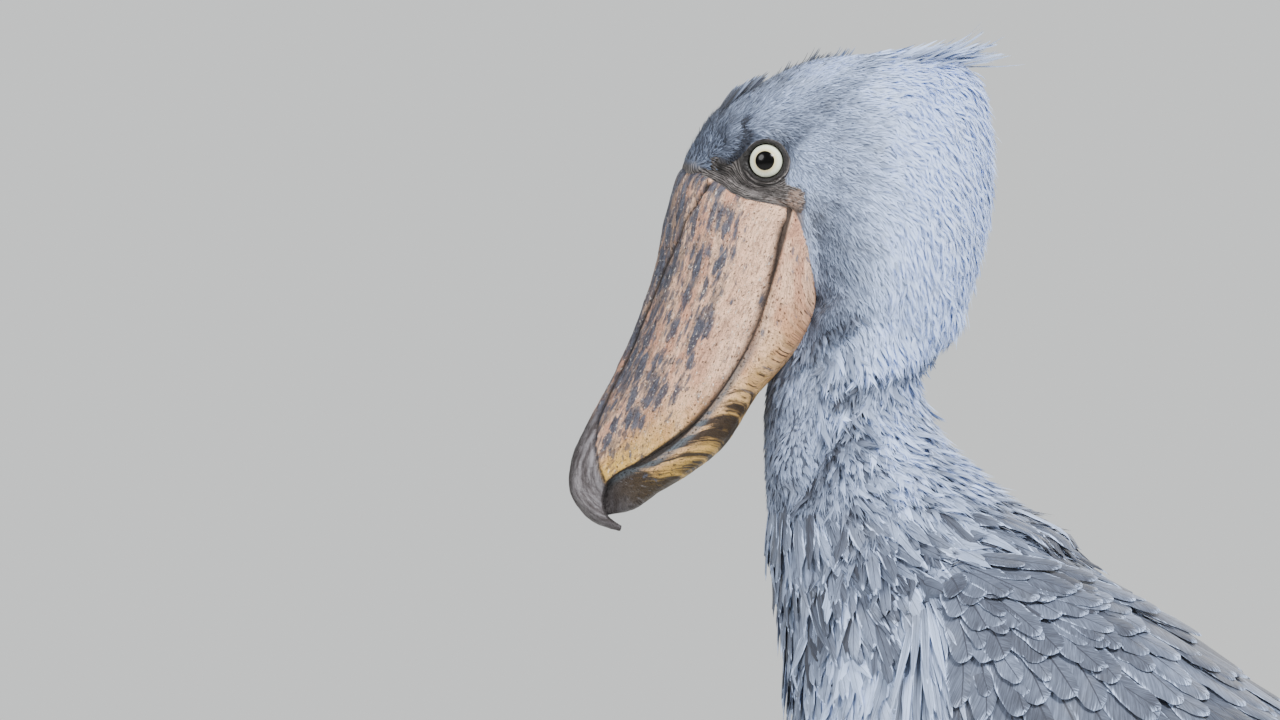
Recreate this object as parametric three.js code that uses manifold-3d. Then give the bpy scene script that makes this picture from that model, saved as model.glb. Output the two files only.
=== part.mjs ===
// A shoebill standing at rest, life size. Lengths are in millimetres, +Z is up and the bird faces -X,
// so its left side is at -Y. The body is lofted through rings that run from a point on its upper line
// to one on its lower line. The feathers that show from a step away are laid on it one by one.
import * as THREE from "three";
import { mergeVertices } from "three/addons/utils/BufferGeometryUtils.js";
import Module from "manifold-3d";

const wasm = await Module();
wasm.setup();

const GAP = 0.3; // between two pieces that touch
const SMOOTHED = 0.1; // the smallest facet worth keeping
const SIDES = { left: -1, right: 1 };
const { cos, sin, abs, sign, PI, hypot, min, max } = Math;
const DEGREE = PI / 180;

// Levels of the thin cuts that part head, neck and torso.
const HEAD_CUT = 990;
const NECK_CUT = 912;

// Rings of the body: upper x, upper z, lower x, lower z, half width, place of the widest point from
// the lower line (0) to the upper line (1), and squareness (2 is an ellipse).
const HEAD_RINGS = [
  [-159, 1104, -156, 1094, 6, 0.5, 2],
  [-153, 1117, -148, 1089, 21, 0.5, 2],
  [-141, 1133, -134, 1082, 34, 0.5, 2.2],
  [-112, 1150, -110, 1064, 46, 0.5, 2.3],
  [-84, 1158, -86, 1012, 55, 0.5, 2.3],
  [-58, 1163, -62, 984, 62, 0.52, 2.2],
  [-30, 1165, -34, 982, 63, 0.54, 2.1],
  [-6, 1164, -10, 994, 55, 0.54, 2.1],
  [10, 1150, 6, 1030, 40, 0.52, 2],
  [17, 1120, 16, 1072, 17, 0.5, 2],
];
const NECK_RINGS = [
  [-18, 1070, -92, 1050, 44, 0.5, 2],
  [-14, 1000, -106, 1004, 50, 0.5, 2.1],
  [-22, 976, -115, 968, 46, 0.5, 2.1],
  [-10, 944, -116, 934, 50, 0.5, 2.1],
  [22, 912, -114, 898, 66, 0.52, 2.1],
  [66, 880, -108, 856, 80, 0.5, 2.1],
];
const TORSO_RINGS = [
  [-16, 950, -112, 940, 40, 0.5, 2],
  [34, 902, -113, 882, 72, 0.52, 2.1],
  [88, 856, -104, 824, 94, 0.5, 2.2],
  [140, 813, -93, 752, 106, 0.5, 2.2],
  [194, 768, -68, 680, 112, 0.5, 2.2],
  [250, 721, -16, 612, 111, 0.48, 2.2],
  [306, 678, 58, 560, 101, 0.46, 2.1],
  [356, 636, 138, 528, 82, 0.46, 2],
  [400, 598, 214, 512, 60, 0.46, 2],
  [430, 570, 284, 502, 38, 0.46, 2],
  [446, 552, 344, 500, 20, 0.5, 2],
];
const BODY_SIDES = 18;

// The folded wing lies on a wider envelope of the same kind. Two more columns give the angles, from
// the upper line, of the wing's upper and lower edges, and the last its thickness.
const WING_RINGS = [
  [40, 900, -98, 800, 95, 0.5, 2.1, 58, 84, 9],
  [96, 858, -88, 726, 114, 0.5, 2.2, 28, 99, 26],
  [162, 800, -42, 640, 127, 0.5, 2.2, 12, 113, 32],
  [246, 736, 46, 572, 128, 0.5, 2.2, 5, 120, 32],
  [334, 670, 156, 522, 106, 0.5, 2.1, 4, 118, 26],
  [420, 607, 280, 486, 76, 0.5, 2.1, 4, 112, 15],
  [508, 534, 400, 440, 50, 0.5, 2, 6, 104, 8],
  [592, 462, 508, 392, 28, 0.5, 2, 14, 96, 3],
];
const WING_CORE_END = 0.74; // share of the wing's length that its solid core fills

// Bill: culmen x, z, mouth line x, z, half width. The lower mandible has the mouth line first.
const UPPER_BILL_RINGS = [
  [-155, 1097, -90, 1073, 41],
  [-163, 1091, -97, 1071, 46],
  [-170, 1068, -104, 1062, 50],
  [-177, 1038, -110, 1036, 53],
  [-188, 1005, -118, 1008, 53],
  [-200, 979, -131, 981, 50],
  [-212, 957, -152, 953, 43],
  [-220, 941, -178, 933, 32],
  [-225, 927, -200, 921, 21],
  [-225.5, 914, -205, 913, 14],
  [-222, 903, -206, 905, 9],
  [-214, 893, -204, 897, 5],
  [-202, 889, -199, 892, 1.5],
];
const LOWER_BILL_RINGS = [
  [-88, 1086, -80, 1072, 38],
  [-95, 1079, -81, 1052, 45],
  [-101, 1064, -82, 1024, 49],
  [-110, 1031, -86, 1006, 50],
  [-120, 1000, -98, 989, 48],
  [-134, 973, -118, 967, 45],
  [-155, 947, -135, 942, 38],
  [-179, 928.5, -153, 927, 29],
  [-193, 922, -177, 912, 20],
  [-202, 916, -192, 903, 12],
  [-204.3, 909, -201, 900, 5],
];
// Across the upper bill, from the culmen to the mouth line: share of the half width, then height as a
// share of the way from the mouth line to the culmen. The dip is the groove beside the culmen ridge.
const UPPER_BILL_PROFILE = [
  [0, 1], [0.13, 0.985], [0.2, 0.915], [0.27, 0.925], [0.5, 0.84], [0.76, 0.63], [0.94, 0.34], [1, 0.1],
  [0.97, 0.01], [0.8, 0.035], [0.4, 0.06], [0, 0.07],
];
const LOWER_BILL_PROFILE = [
  [0, 0.985], [0.5, 0.98], [0.9, 0.96], [0.96, 0.9], [1, 0.66], [0.95, 0.36], [0.76, 0.1], [0.45, 0], [0, 0.03],
];
const NOSTRIL = { from: [-152, 1088], to: [-161, 1069], out: 24, radius: 2.2 };

// Eyes, with the ring of bare lid round each.
const EYE = { x: -113, y: 37, z: 1103, radius: 12.2, turn: 12 };
const LID = { radius: 10.8, tube: 1.9, out: 7.8 };

// Legs: the feathered thigh, the bare shank with the ankle joint, and the foot. Left steps ahead.
const STRIDE = 26;
const HIP_Y = 54;
const FOOT_Y = 74;
const FOOT_X = 92;
const TOE_ROOT_Z = 13;
const THIGH_RINGS = [ // x, z, share of the way from hip to foot across, half depth, half width
  [64, 640, 0, 62, 42],
  [70, 560, 0.1, 64, 44],
  [84, 480, 0.25, 50, 37],
  [96, 410, 0.4, 34, 27],
  [104, 350, 0.52, 22, 18],
  [108, 306, 0.6, 14, 12],
];
const SHANK_RINGS = [
  [108.2, 305.4, 0.6, 10, 8.5],
  [110, 278, 0.66, 9.5, 8.5],
  [112, 262, 0.7, 14, 12],
  [112, 246, 0.73, 14.5, 12.5],
  [109, 226, 0.77, 10, 9],
  [103, 160, 0.85, 8.6, 7.6],
  [96, 80, 0.94, 8.8, 8],
  [93, 40, 1, 11, 11],
];
const FOOT_PAD = { radius: 19, top: 39.6, height: 39.6 };
// Toes: name, heading from straight ahead (positive turns out), length without claw, thickness.
const TOES = [
  ["inner", -30, 112, 8.2],
  ["middle", 2, 152, 9],
  ["outer", 33, 122, 8.2],
  ["hind", 172, 66, 8],
];
const CLAW = { length: 27, drop: 7, share: 0.66 };

// A row of the table at place t (0 to 1), on a smooth curve through the rows.
function rowAt(rows, t) {
  const at = t * (rows.length - 1);
  const i = min(rows.length - 2, max(0, Math.floor(at)));
  const f = at - i;
  const [a, b, c, d] = [-1, 0, 1, 2].map((k) => rows[min(rows.length - 1, max(0, i + k))]);
  return b.map((_, n) => {
    const pull = (c[n] - a[n]) / 2;
    const push = (d[n] - b[n]) / 2;
    const rise = c[n] - b[n];
    return b[n] + f * (pull + f * (3 * rise - 2 * pull - push + f * (pull + push - 2 * rise)));
  });
}

// The point of a body ring at an angle from its upper line, moved out by grow.
function bodyPoint(rows, t, angle, grow = 0) {
  const [ux, uz, lx, lz, half, widest, square] = rowAt(rows, t);
  const span = hypot(ux - lx, uz - lz);
  const [dx, dz] = [(ux - lx) / span, (uz - lz) / span];
  const bend = (value) => sign(value) * abs(value) ** (2 / square);
  const up = bend(cos(angle));
  const reach = up > 0 ? (1 - widest) * span + grow : widest * span + grow;
  const along = widest * span + up * reach;
  return new THREE.Vector3(lx + dx * along, bend(sin(angle)) * (half + grow), lz + dz * along);
}

const middle = (ring) => ring.reduce((sum, p) => sum.add(p), new THREE.Vector3()).divideScalar(ring.length);

// Rings with one more at each end, moved out by grow.
function longer(rings, grow) {
  if (!grow) return rings;
  const end = (ring, next) => {
    const out = middle(ring).sub(middle(next)).setLength(grow);
    return ring.map((p) => p.clone().add(out));
  };
  return [end(rings[0], rings[1]), ...rings, end(rings.at(-1), rings.at(-2))];
}

// A closed geometry over rings of equally many points, with a fan at each end.
function skinOver(rings) {
  const count = rings[0].length;
  const points = [...rings.flat(), middle(rings[0]), middle(rings.at(-1))];
  const faces = [];
  const last = (rings.length - 1) * count;
  for (let j = 0; j < count; j++) {
    const k = (j + 1) % count;
    faces.push([points.length - 2, k, j], [points.length - 1, last + j, last + k]);
    for (let i = 0; i < last; i += count) faces.push([i + j, i + k, i + count + k], [i + j, i + count + k, i + count + j]);
  }
  return shellOf(points, faces);
}

// A geometry from points and triangles, with its faces turned to point out.
function shellOf(points, faces) {
  const volume = faces.reduce((sum, [a, b, c]) => {
    const turn = new THREE.Vector3().crossVectors(points[b], points[c]);
    return sum + points[a].dot(turn);
  }, 0);
  const index = faces.flatMap(([a, b, c]) => (volume > 0 ? [a, b, c] : [a, c, b]));
  return new THREE.BufferGeometry().setFromPoints(points).setIndex(index);
}

function solidOf(geometry) {
  const bare = geometry.clone();
  bare.deleteAttribute("normal");
  bare.deleteAttribute("uv");
  const merged = mergeVertices(bare, 1e-4);
  return new wasm.Manifold(new wasm.Mesh({
    numProp: 3,
    vertProperties: merged.attributes.position.array,
    triVerts: new Uint32Array(merged.index.array),
  }));
}

function join(solids) {
  return solids.reduce((sum, piece) => sum.add(piece));
}

// The largest closed body of a solid, so that no scrap of a cut stays.
function largest(solid) {
  return solid.decompose().reduce((best, piece) => (piece.volume() > best.volume() ? piece : best));
}

// A solid through rings of points at places t (0 to 1) and angles, grown on all sides by grow.
function loft(pointAt, steps, sides, grow = 0) {
  const rings = Array.from({ length: steps + 1 }, (_, i) => (
    Array.from({ length: sides }, (__, j) => pointAt(i / steps, (2 * PI * j) / sides, grow))
  ));
  return solidOf(skinOver(longer(rings, grow)));
}

function bodyLoft(rows, steps, grow = 0) {
  return loft((t, angle, out) => bodyPoint(rows, t, angle, out), steps, BODY_SIDES, grow);
}

// A feather's vane: a leaf with a lens section, thin at its edges. place(s, t, lift) gives a point at
// s from root (0) to tip (1), t across (-1 to 1) and lift off the surface that it lies on.
const BLADE = [[0, 0.5], [0.42, 0.96], [0.84, 0.84], [1, 0]];
const LANCE = [[0, 0.6], [0.4, 1], [1, 0]];
function vane(place, thick, outline = BLADE) {
  const points = [];
  outline.slice(0, -1).forEach(([s, wide]) => {
    const body = thick * (0.6 + 0.4 * (1 - s));
    points.push(place(s, -wide, 0), place(s, 0, body / 2), place(s, wide, 0), place(s, 0, -body / 2));
  });
  points.push(place(1, 0, 0));
  const faces = [[0, 1, 2], [0, 2, 3]];
  const rows = outline.length - 1;
  for (let i = 0; i < rows - 1; i++) {
    const [l, t, r, b] = [4 * i, 4 * i + 1, 4 * i + 2, 4 * i + 3];
    faces.push([l, l + 4, t + 4], [l, t + 4, t], [r, t, t + 4], [r, t + 4, r + 4]);
    faces.push([l, b + 4, l + 4], [l, b, b + 4], [r, b + 4, b], [r, r + 4, b + 4]);
  }
  const end = 4 * (rows - 1);
  const tip = points.length - 1;
  faces.push([end, tip, end + 1], [end + 1, tip, end + 2], [end + 2, tip, end + 3], [end + 3, tip, end]);
  return solidOf(shellOf(points, faces));
}

// A vane laid on a surface from one place on it to another. It rises from "sunk" at the root to
// "raised" at the tip, and its leading edge lies "tilt" under its trailing edge.
function laid(surface, [t0, a0], [t1, a1], { width, thick, sunk, raised, tilt = 0, outline = BLADE, curl = 0 }) {
  const place = (s, across, lift) => {
    const t = t0 + (t1 - t0) * s;
    const a = a0 + (a1 - a0) * s;
    const step = 0.02;
    const round = surface(t, a + step, 0).distanceTo(surface(t, a - step, 0)) / (2 * step);
    const height = sunk + (raised - sunk) * s ** 0.8 + curl * s * s + tilt * across + lift;
    return surface(t, a + (across * width) / 2 / round, height);
  };
  return vane(place, thick, outline);
}

// A vane that stands free along a bent line.
function free({ root, heading, bend, across, length, width, thick, outline = LANCE }) {
  const start = new THREE.Vector3(...root);
  const ahead = new THREE.Vector3(...heading).normalize();
  const fall = new THREE.Vector3(...bend);
  const side = new THREE.Vector3(...across).normalize();
  const up = new THREE.Vector3().crossVectors(side, ahead).normalize();
  const place = (s, t, lift) => start.clone().addScaledVector(ahead, length * s)
    .addScaledVector(fall, length * s * s).addScaledVector(side, (t * width) / 2).addScaledVector(up, lift);
  return vane(place, thick, outline);
}

// Surfaces that feathers lie on: t along, angle round from the upper line, and height off it.
const outOf = (rows, hand = 1) => (t, angle, height) => {
  const p = bodyPoint(rows, t, angle, height);
  p.y *= hand;
  return p;
};

// The wing's outer surface: u from shoulder to tip, v from its upper edge (0) to its lower edge (1).
function wingPoint(hand, u, v, height) {
  const row = rowAt(WING_RINGS, u);
  const angle = (row[7] + (row[8] - row[7]) * v) * DEGREE;
  const p = bodyPoint(WING_RINGS, u, angle, height);
  p.y *= hand;
  return p;
}

function wingCore(hand) {
  const rings = [];
  const steps = 9;
  const across = [0, 0.18, 0.36, 0.54, 0.72, 0.87, 1];
  for (let i = 0; i <= steps; i++) {
    const u = (WING_CORE_END * i) / steps;
    const deep = rowAt(WING_RINGS, u)[9];
    const outer = across.map((v) => wingPoint(hand, u, v, -1));
    const inner = [0.8, 0.2].map((v) => wingPoint(hand, u, v, -1 - deep));
    rings.push([...outer, ...inner]);
  }
  return solidOf(skinOver(rings));
}

// Tiers of wing feathers, from the lowest layer to the top one. Each has its count, where roots and
// tips of its first and last feather lie on the wing (u, v), its width, and how high its tips stand.
const WING_TIERS = [
  { name: "primaries", count: 6, root: [[0.52, 0.42], [0.5, 0.86]], tip: [[1, 0.42], [0.84, 0.98]], width: [30, 34], raised: 1 },
  { name: "secondaries", count: 8, root: [[0.46, 0.3], [0.28, 0.97]], tip: [[0.86, 0.34], [0.56, 1.1]], width: [38, 40], raised: 3 },
  { name: "tertials", count: 4, root: [[0.4, 0.06], [0.42, 0.3]], tip: [[0.82, 0.08], [0.8, 0.36]], width: [42, 42], raised: 4.5 },
  { name: "greater coverts", count: 7, root: [[0.34, 0.2], [0.17, 0.95]], tip: [[0.56, 0.24], [0.36, 1.08]], width: [46, 36], raised: 4.8 },
  { name: "median coverts", count: 6, root: [[0.22, 0.14], [0.09, 0.9]], tip: [[0.42, 0.2], [0.23, 1.02]], width: [46, 34], raised: 5.5 },
  { name: "scapulars", count: 4, root: [[0.14, 0.02], [0.2, 0.2]], tip: [[0.44, 0.05], [0.45, 0.2]], width: [40, 42], raised: 6 },
  { name: "lesser coverts", count: 5, root: [[0.1, 0.1], [0.0, 0.84]], tip: [[0.27, 0.15], [0.13, 0.96]], width: [42, 30], raised: 6 },
];

const WING_VANE = { thick: 2.2, sunk: -4.5, tilt: 1.8 };

function wing(hand) {
  const surface = (u, v, height) => wingPoint(hand, u, v, height);
  const mix = ([a, b], [c, d], f) => [a + (c - a) * f, b + (d - b) * f];
  const feathers = WING_TIERS.flatMap(({ count, root, tip, width, raised }) => {
    return Array.from({ length: count }, (_, i) => {
      const f = i / (count - 1);
      const wide = width[0] + (width[1] - width[0]) * f;
      const stagger = 0.006 * ((i % 3) - 1);
      const [tu, tv] = mix(...tip, f);
      return laid(surface, mix(...root, f), [tu + stagger, tv], { width: wide, raised, ...WING_VANE });
    });
  });
  return join([wingCore(hand), ...feathers]);
}

// Tail: a low core with stiff feathers in a closed fan, the middle pair on top.
const TAIL = { root: [400, 556], slope: 45, length: 236, width: 38, pairs: 6, spread: 8.5, drop: 2.6 };
function tailFrame(hand, turn) {
  const slope = TAIL.slope * DEGREE;
  const swing = hand * turn * DEGREE;
  const ahead = new THREE.Vector3(cos(slope) * cos(swing), sin(swing), -sin(slope) * cos(swing));
  const side = new THREE.Vector3(-cos(slope) * sin(swing), cos(swing), sin(slope) * sin(swing));
  return { ahead, side };
}
function tail() {
  const start = [TAIL.root[0], TAIL.root[1]];
  const slope = TAIL.slope * DEGREE;
  const up = [sin(slope), cos(slope)];
  const feathers = [];
  for (let k = 0; k < TAIL.pairs; k++) {
    for (const hand of Object.values(SIDES)) {
      const { ahead, side } = tailFrame(hand, 1 + (TAIL.spread * k) / (TAIL.pairs - 1));
      const low = -TAIL.drop * k - (hand > 0 ? 0.9 : 0);
      feathers.push(free({
        root: [start[0] + up[0] * low, hand * (3 + 3.2 * k), start[1] + up[1] * low],
        heading: ahead.toArray(),
        bend: [0.02, 0, -0.02],
        across: side.toArray(),
        length: TAIL.length - 3 * k,
        width: TAIL.width,
        thick: 2.4,
        outline: BLADE,
      }));
    }
  }
  return join([tailBody(0, 0.42), ...feathers]);
}
// The tail's rounded body, also used in full length to keep the wings clear of the feathers.
function tailBody(grow, share, extra = 0) {
  const slope = TAIL.slope * DEGREE;
  return loft((t, angle, out) => {
    const along = -36 + (TAIL.length + 52) * share * t;
    const half = 26 + 36 * share * t + out + 2 * extra;
    const deep = (share < 1 ? 15 * (1 - 0.75 * t) : 13) + out + extra;
    const lift = deep * cos(angle) - 5;
    const x = TAIL.root[0] + along * cos(slope) + lift * sin(slope);
    const z = TAIL.root[1] - along * sin(slope) + lift * cos(slope);
    return new THREE.Vector3(x, half * sin(angle), z);
  }, share < 1 ? 4 : 8, 14, grow);
}

// Long narrow plumes that hang over the breast, in rows that lie over one another.
function breastPlumes() {
  const surface = outOf(TORSO_RINGS);
  const plumes = [];
  const rows = 3;
  for (let row = rows - 1; row >= 0; row--) {
    const count = 7 + row;
    for (let i = 0; i < count; i++) {
      const f = i / (count - 1) - 0.5;
      const angle = PI + f * (1.9 + 0.1 * row);
      const start = 0.13 + 0.072 * row + 0.012 * ((i * 7) % 3);
      plumes.push(laid(surface, [start, angle], [start + 0.115 + 0.02 * ((i * 5) % 3), angle + f * 0.1], {
        width: 25, thick: 2.4, sunk: -4, raised: 3.5, tilt: 1.2, outline: LANCE, curl: 1.5,
      }));
    }
  }
  return plumes;
}

// The shaggy nape, and the small crest at the back of the crown.
function napeLocks() {
  const surface = outOf(HEAD_RINGS);
  const locks = [];
  for (let row = 0; row < 4; row++) {
    const count = 4 + (row % 2);
    for (let i = 0; i < count; i++) {
      const f = i / (count - 1) - 0.5;
      const out = f * (56 - 6 * row);
      const z = 1128 - 32 * row - 6 * (i % 2);
      const x = 4 - 0.009 * out * out - 2.4 * row * row * 0.8;
      locks.push(free({
        root: [x - 6, out, z], heading: [0.62 - 0.1 * row, f * 0.5, -0.5 - 0.14 * row], bend: [-0.18, 0, -0.16],
        across: [0, 1, 0], length: 34, width: 17, thick: 5,
      }));
    }
  }
  return locks;
}
const CREST = [ // root x, y, z, heading x, y, z, length
  [-24, 0, 1161, 1, 0, 0.16, 46],
  [-20, 9, 1159, 1, 0.2, 0.1, 40],
  [-20, -9, 1159, 1, -0.2, 0.12, 42],
  [-8, 3, 1155, 1, 0.06, -0.02, 40],
  [-8, -8, 1152, 1, -0.2, -0.12, 36],
  [-6, 12, 1149, 1, 0.3, -0.2, 34],
];
function crest() {
  return CREST.map(([x, y, z, hx, hy, hz, length]) => free({
    root: [x, y, z], heading: [hx, hy, hz], bend: [-0.02, 0, 0.1], across: [0, 1, 0], length, width: 12, thick: 3.4,
  }));
}

function billLoft(rows, profile, steps, grow = 0) {
  const half = [...profile, ...profile.slice(1, -1).reverse().map(([a, b]) => [-a, b])];
  const rings = [];
  for (let i = 0; i <= steps; i++) {
    const [tx, tz, bx, bz, wide] = rowAt(rows, i / steps);
    const span = hypot(tx - bx, tz - bz);
    rings.push(half.map(([a, b]) => {
      const up = b + ((b - 0.5) * 2 * grow) / span;
      return new THREE.Vector3(bx + (tx - bx) * up, a * (wide + grow), bz + (tz - bz) * up);
    }));
  }
  return solidOf(skinOver(longer(rings, grow)));
}

function ball(radius, x, y, z, detail = 14) {
  const sphere = new THREE.SphereGeometry(radius, detail, Math.round(detail * 0.6));
  sphere.rotateX(PI / 2).rotateX(PI / 2);
  sphere.translate(x, y, z);
  return solidOf(sphere);
}

// The thick bare rim round an eye.
function lid(hand) {
  const ring = new THREE.TorusGeometry(LID.radius, LID.tube, 6, 16);
  ring.rotateX(PI / 2).translate(0, hand * LID.out, 0).rotateZ(-hand * EYE.turn * DEGREE);
  ring.translate(EYE.x, hand * EYE.y, EYE.z);
  return solidOf(ring);
}

function nostril(hand) {
  const [[x0, z0], [x1, z1]] = [NOSTRIL.from, NOSTRIL.to];
  const slot = new THREE.CapsuleGeometry(NOSTRIL.radius, hypot(x1 - x0, z1 - z0), 2, 6);
  slot.rotateX(PI / 2).rotateY(Math.atan2(x1 - x0, z1 - z0));
  slot.translate((x0 + x1) / 2, hand * NOSTRIL.out, (z0 + z1) / 2);
  return solidOf(slot);
}

function legLoft(rows, hand, steps, sides, grow = 0) {
  const ahead = hand < 0 ? -STRIDE : STRIDE;
  const reach = rows === THIGH_RINGS ? 0 : 1;
  return loft((t, angle, out) => {
    const [x, z, share, deep, wide] = rowAt(rows, t);
    const swing = ahead * (reach ? 0.5 + 0.5 * min(1, (306 - z) / 266) : 0.5 * max(0, (560 - z) / 254));
    const y = hand * (HIP_Y + (FOOT_Y - HIP_Y) * share);
    return new THREE.Vector3(x + swing + (deep + out) * cos(angle), y + (wide + out) * sin(angle), z);
  }, steps, sides, grow);
}

function footCentre(hand) {
  return [FOOT_X + (hand < 0 ? -STRIDE : STRIDE), hand * FOOT_Y];
}

function footPad(hand) {
  const [x, y] = footCentre(hand);
  const pad = new THREE.CylinderGeometry(FOOT_PAD.radius * 0.72, FOOT_PAD.radius, FOOT_PAD.height, 12);
  pad.rotateX(PI / 2).translate(x, y, FOOT_PAD.top - FOOT_PAD.height / 2);
  return solidOf(pad);
}

// A toe lies on flat pads: it swells at each joint, and its underside is cut level with the floor.
function toeFrame(hand, heading) {
  const turn = heading * DEGREE * -hand;
  const ahead = new THREE.Vector3(-cos(turn), -sin(turn), 0);
  return { ahead, side: new THREE.Vector3(-ahead.y, ahead.x, 0) };
}
function toe(hand, [, heading, length, thick]) {
  const [x, y] = footCentre(hand);
  const { ahead, side } = toeFrame(hand, heading);
  const [steps, sides] = [9, 8];
  const rings = [];
  for (let i = 0; i <= steps; i++) {
    const t = i / steps;
    const swell = 1 + 0.1 * cos(t * 3 * 2 * PI);
    const round = thick * (1.12 - 0.34 * t) * swell;
    const along = FOOT_PAD.radius * 0.3 + (length - FOOT_PAD.radius * 0.3) * t;
    const level = TOE_ROOT_Z - (TOE_ROOT_Z - thick * 0.74) * min(1, t * 2.2);
    rings.push(Array.from({ length: sides }, (_, j) => {
      const angle = (2 * PI * (j + 0.5)) / sides;
      const p = new THREE.Vector3(x, y, 0).addScaledVector(ahead, along).addScaledVector(side, round * sin(angle));
      p.z = max(0, level + round * cos(angle));
      return p;
    }));
  }
  return solidOf(skinOver(rings));
}

function claw(hand, [, heading, length, thick]) {
  const [x, y] = footCentre(hand);
  const { ahead, side } = toeFrame(hand, heading);
  const rings = [];
  for (let i = 0; i <= 4; i++) {
    const t = i / 4;
    const round = thick * CLAW.share * (1 - 0.9 * t ** 1.4);
    rings.push(Array.from({ length: 7 }, (_, j) => {
      const angle = (2 * PI * j) / 7;
      const p = new THREE.Vector3(x, y, 0).addScaledVector(ahead, length + GAP + CLAW.length * t);
      p.addScaledVector(side, round * 0.85 * sin(angle));
      p.z = max(0.2, thick * 0.78 - CLAW.drop * t * t + round * cos(angle));
      return p;
    }));
  }
  return solidOf(skinOver(rings));
}

const COLOURS = {
  plumage: [0x7d8796, 0.85],
  feather: [0x6b7484, 0.7],
  bill: [0xc09a86, 0.45],
  eye: [0xe3e2c0, 0.12],
  leg: [0x4a4a4e, 0.7],
  claw: [0x2c2a2a, 0.4],
};
const bird = new THREE.Group();
function add(name, solid, colour) {
  const mesh = largest(solid.simplify(SMOOTHED)).getMesh();
  const geometry = new THREE.BufferGeometry();
  geometry.setAttribute("position", new THREE.BufferAttribute(Float32Array.from(mesh.vertProperties), 3));
  geometry.setIndex(new THREE.BufferAttribute(mesh.triVerts, 1));
  geometry.computeVertexNormals();
  const [color, roughness] = COLOURS[colour];
  const piece = new THREE.Mesh(geometry, new THREE.MeshStandardMaterial({ color, roughness, metalness: 0 }));
  piece.name = name;
  bird.add(piece);
}
const above = (solid, level) => solid.trimByPlane([0, 0, 1], level);
const below = (solid, level) => solid.trimByPlane([0, 0, -1], -level);
const each = (make) => Object.values(SIDES).map(make);

// Body parts, whole first and then parted.
const torsoGrown = bodyLoft(TORSO_RINGS, 20, GAP);
const upperBill = (grow) => billLoft(UPPER_BILL_RINGS, UPPER_BILL_PROFILE, 20, grow);
const lowerBill = (grow) => billLoft(LOWER_BILL_RINGS, LOWER_BILL_PROFILE, 16, grow);
const billGrown = join([upperBill(GAP), lowerBill(GAP)]);
const headLoft = (grow) => bodyLoft(HEAD_RINGS, 16, grow);
const neckLoft = (grow) => bodyLoft(NECK_RINGS, 8, grow);
const headAndNeck = join([headLoft(), neckLoft()]);
const neckGrown = below(join([headLoft(GAP), neckLoft(GAP)]), HEAD_CUT);
const trunk = join([bodyLoft(TORSO_RINGS, 20), neckLoft()]);
const tailRoom = tailBody(GAP, 1, 9);
const eyeGrown = each((hand) => ball(EYE.radius + GAP, EYE.x, hand * EYE.y, EYE.z));

add("head", join([above(headAndNeck, HEAD_CUT), ...each(lid), ...napeLocks(), ...crest()])
  .subtract(neckGrown).subtract(billGrown).subtract(join(eyeGrown)), "plumage");
add("upper_bill", upperBill().subtract(lowerBill(GAP)).subtract(join(each(nostril))), "bill");
add("lower_bill", lowerBill(), "bill");
add("neck", above(below(headAndNeck, HEAD_CUT - GAP), NECK_CUT).subtract(billGrown), "plumage");
add("torso", below(join([trunk, ...breastPlumes()]), NECK_CUT - GAP), "plumage");
add("tail", tail().subtract(torsoGrown), "feather");

for (const [name, hand] of Object.entries(SIDES)) {
  const inner = (solid) => solid.trimByPlane([0, hand, 0], GAP / 2);
  add(`eye_${name}`, ball(EYE.radius, EYE.x, hand * EYE.y, EYE.z), "eye");
  const room = join([torsoGrown, tailRoom, legLoft(THIGH_RINGS, hand, 8, 14, GAP)]);
  add(`wing_${name}`, inner(wing(hand)).subtract(room), "feather");
  add(`thigh_${name}`, legLoft(THIGH_RINGS, hand, 8, 14).subtract(torsoGrown), "plumage");
  const shank = legLoft(SHANK_RINGS, hand, 11, 10);
  add(`shank_${name}`, above(shank, FOOT_PAD.top + GAP), "leg");
  add(`foot_${name}`, join([footPad(hand), ...TOES.map((shape) => toe(hand, shape))]), "leg");
  for (const shape of TOES) add(`claw_${name}_${shape[0]}`, claw(hand, shape), "claw");
}

// The origin is on the floor, under the middle of the bird's length and width.
const box = new THREE.Box3().setFromObject(bird);
bird.position.set(-(box.min.x + box.max.x) / 2, -(box.min.y + box.max.y) / 2, 0);

export default bird;
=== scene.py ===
import math

import bmesh
import bpy
import numpy as np
from mathutils.bvhtree import BVHTree
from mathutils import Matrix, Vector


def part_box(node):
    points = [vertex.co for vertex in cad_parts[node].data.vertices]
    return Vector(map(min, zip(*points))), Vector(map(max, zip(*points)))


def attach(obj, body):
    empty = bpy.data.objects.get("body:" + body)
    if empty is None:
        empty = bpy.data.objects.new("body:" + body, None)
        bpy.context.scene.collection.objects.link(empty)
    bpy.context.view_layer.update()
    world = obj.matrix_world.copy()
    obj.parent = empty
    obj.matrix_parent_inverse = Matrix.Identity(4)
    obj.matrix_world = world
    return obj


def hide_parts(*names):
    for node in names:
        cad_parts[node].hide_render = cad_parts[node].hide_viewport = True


bl_info = {
    "name": "Shoebill",
    "version": (1, 0, 0),
    "blender": (4, 5, 0),
    "location": "3D View > Sidebar > Shoebill",
    "description": "Dresses the solids of a standing shoebill: skin, bill, eyes, legs and every feather",
    "category": "Add Mesh",
}

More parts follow.
